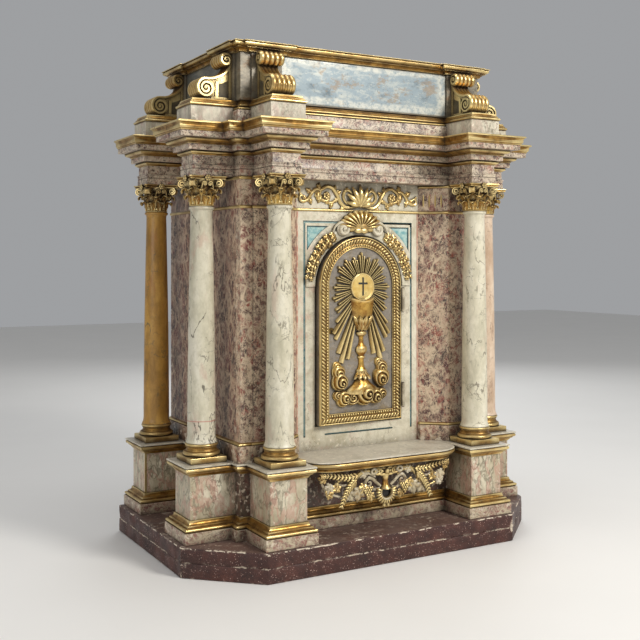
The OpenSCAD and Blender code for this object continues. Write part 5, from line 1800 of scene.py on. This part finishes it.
def door_chalice():
    """Chalice in half relief under the host, with a leafed cup and foot."""
    shape = Shape()
    y, flat = DOOR_Y, 0.62
    profile = [(0.5, 309), (40, 309), (41, 312), (39, 318), (31, 323), (22, 329), (16, 336), (13, 344),
               (11, 350), (13, 353), (13.5, 357), (10, 360), (8, 364), (6.6, 370), (6.2, 378),
               (7.4, 381),
               (9.5, 383), (9.5, 385), (7, 387), (9, 390), (13, 395), (14, 400), (12, 405), (8, 409),
               (6, 413), (5.2, 420), (5.6, 426), (9, 428), (12.5, 431), (13, 435), (9, 438), (8, 440),
               (12, 443), (19, 449), (23.5, 457), (26, 468), (28, 484), (29.5, 498), (30.5, 504),
               (31, 506), (29, 507), (0.5, 507)]
    rows = []
    sides = 20
    for r, z in profile:
        row = []
        for k in range(sides + 1):
            a = pi + pi * k / sides
            swell = 1 + 0.05 * abs(sin(6 * a)) * (391 < z < 407)
            swell += 0.07 * abs(sin(4 * a)) * (310 < z < 342)
            deep = flat * min(1.0, 26 / max(r, 1)) if z < 350 else flat
            dip = 7 * max(0.0, (z - 485) / 22) * sin(a) ** 2
            row.append((r * swell * cos(a), y + r * deep * swell * sin(a) - 0.6, z - dip))
        row += [(r, y + 0.2, z), (-r, y + 0.2, z)]
        rows.append(row)
    shape.grid(rows, wrap=True, caps=True)
    for base_r, z, size, width, lean in ((12, 441, 31, 14, 0.55), (12, 349, 17, 10, -0.2)):
        for k in range(5):
            a = pi + pi * (k + 0.5) / 5
            x, d = base_r * cos(a), base_r * flat * sin(a)
            place = upright_place(x, y + d - 3, z, a)
            if lean > 0:
                leaf(shape, place, size, width, lean * 1.1, -0.5, 2, 0.25, 1.4, 10, 3)
            else:
                down = Matrix(((0, 0, 1), (0, 1, 0), (-1, 0, 0))).to_4x4()
                drop = put(x, y + d - 1.5, z + 4) @ Matrix.Rotation(a, 4, "Z") @ down
                leaf(shape, drop, size, width, 0.75, -0.3, 2, 0.25, 1.4, 8, 3)
    # The host, with a plain cross inlaid in dark paint
    r = 29
    edge = [(r - 0.6, 0.2), (r, -6), (r - 0.6, -8.4), (r - 1.8, -9), (r - 3, -8.4), (r - 3.6, -7.8),
            (r - 8, -8.2), (6, -8.6), (0.4, -8.6)]
    rows = [[(rr * cos(a), y + d, HOST_Z + rr * sin(a)) for a in around(56)]
            for rr, d in edge]
    shape.grid(rows, wrap=True, caps=True, mat=1)
    for x0, x1, z0, z1 in ((-1.7, 1.7, HOST_Z - 17, HOST_Z + 20),
                           (-11, 11, HOST_Z + 6, HOST_Z + 9.4)):
        plate(shape, [rect(x0, x1, z0, z1)], y - 9.1, y - 8, 2)
    build(shape, "door_chalice", "door", [GOLD, HOST_GOLD, DARK_PAINT], 0.2, 50)


door_chalice()


def puff(shape, x, z, r, turn, hand, height):
    """A rolled cloud: a dome whose spiral ridges crowd towards one side."""
    rings, sides, coils = 22, 40, 2.8
    rows = []
    lean = radians(turn)
    for i in range(rings + 1):
        t = i / rings
        row = []
        shift = 0.36 * r * (1 - t)
        for a in around(sides):
            wave = abs(sin(pi * (coils * t + hand * (a - lean) / (2 * pi))))
            lift = height * (1 - t ** 2.4) ** 0.5 * (0.55 + 0.45 * wave ** 0.6)
            rr = max(0.02, t) * r * (1 + 0.035 * sin(3 * a + turn))
            row.append((x + shift * cos(lean) + rr * cos(a), DOOR_Y + 0.2 - lift,
                        z + shift * sin(lean) + rr * sin(a)))
        rows.append(row)
    shape.grid(rows, wrap=True, caps=True)


def door_clouds():
    shape = Shape()
    for x, z, r, turn, hand, height in (
            (-55, 337, 20, -60, 1, 16), (-57, 355, 17, -75, 1, 11), (-60, 366, 12, -80, 1, 7),
            (49, 341, 21, -100, -1, 17), (51, 362, 15, -80, -1, 11), (44, 372, 11, -100, -1, 8),
            (-46, 302, 18, -30, 1, 14), (-60, 308, 11, -20, 1, 9),
            (33, 303, 18, -60, -1, 17), (49, 307, 14, -80, 1, 13), (2, 309, 25, -20, 1, 23),
            (-22, 301, 16, 160, 1, 15)):
        puff(shape, x, z, r, turn, hand, height)
    build(shape, "door_clouds", "door", [GOLD], 0.2, 50)


door_clouds()


# ---------- plain joinery and metalwork that stays as the CAD model has it ----------

PLAIN = {"dado_front_board": SHADED_DADO_STONE, "dado_side_left": SHADED_DADO_STONE, "dado_side_right": SHADED_DADO_STONE,
         "niche_casing": LINING, "strike_rail": LINING, "niche_back": LINING, "niche_floor": WOOD,
         "frame_hinge_leaves": PAINTED_IRON, "door_hinge_leaves": PAINTED_IRON,
         "lock_case": IRON, "lock_bolt": IRON,
         "hinge_pins": STEEL, "frame_hinge_screws": STEEL, "door_hinge_screws": STEEL,
         "door_panel": DOOR_GROUND, "escutcheon": BRASS}
for name, material in PLAIN.items():
    node = bpy.data.objects[name]
    node.data.materials.clear()
    node.data.materials.append(material)


# ---------- floor, light and camera ----------

def studio():
    floor_paint = Paint("studio_floor")
    tone = floor_paint.mix(floor_paint.fac(3, 3), "#e2e0dc", "#e8e6e2")
    floor_material = floor_paint.done(tone, 0.6)
    bpy.ops.mesh.primitive_plane_add(size=14, location=(0, 0, -0.0005))
    floor = bpy.context.object
    floor.name = "studio_floor"
    floor.data.materials.append(floor_material)

    world = bpy.data.worlds.new("studio")
    bpy.context.scene.world = world
    world.use_nodes = True
    sky = world.node_tree.nodes["Background"]
    sky.inputs["Color"].default_value = (0.95, 0.97, 1.0, 1)
    sky.inputs["Strength"].default_value = 0.36
    for name, spot, size, power, tint in (
            ("key", (1.0, -2.5, 2.1), 0.9, 70, (1.0, 0.97, 0.92)),
            ("fill", (-2.8, -1.2, 1.3), 1.8, 17, (1.0, 0.97, 0.93)),
            ("top", (-0.2, -0.3, 3.0), 1.6, 22, (1.0, 1.0, 1.0)),
            ("rear", (1.6, 2.4, 1.8), 2.0, 24, (0.96, 0.98, 1.0))):
        data = bpy.data.lights.new(name, "AREA")
        data.shape, data.size, data.energy, data.color = "DISK", size, power, tint
        lamp = bpy.data.objects.new(name, data)
        lamp.location = spot
        aim = Vector((0, 0, 0.5)) - Vector(spot)
        lamp.rotation_euler = aim.to_track_quat("-Z", "Y").to_euler()
        bpy.context.scene.collection.objects.link(lamp)

    # Lens and place found by lining the model up with the photo
    data = bpy.data.cameras.new("photo_view")
    data.sensor_width, data.lens, data.shift_y = 36, 54.66, -0.0925
    camera = bpy.data.objects.new("photo_view", data)
    camera.location = (-1.0581, -1.7935, 0.5822)
    camera.rotation_euler = (pi / 2, 0, radians(-29.4))
    bpy.context.scene.collection.objects.link(camera)
    bpy.context.scene.camera = camera
    bpy.context.scene.view_settings.view_transform = "Standard"


studio()
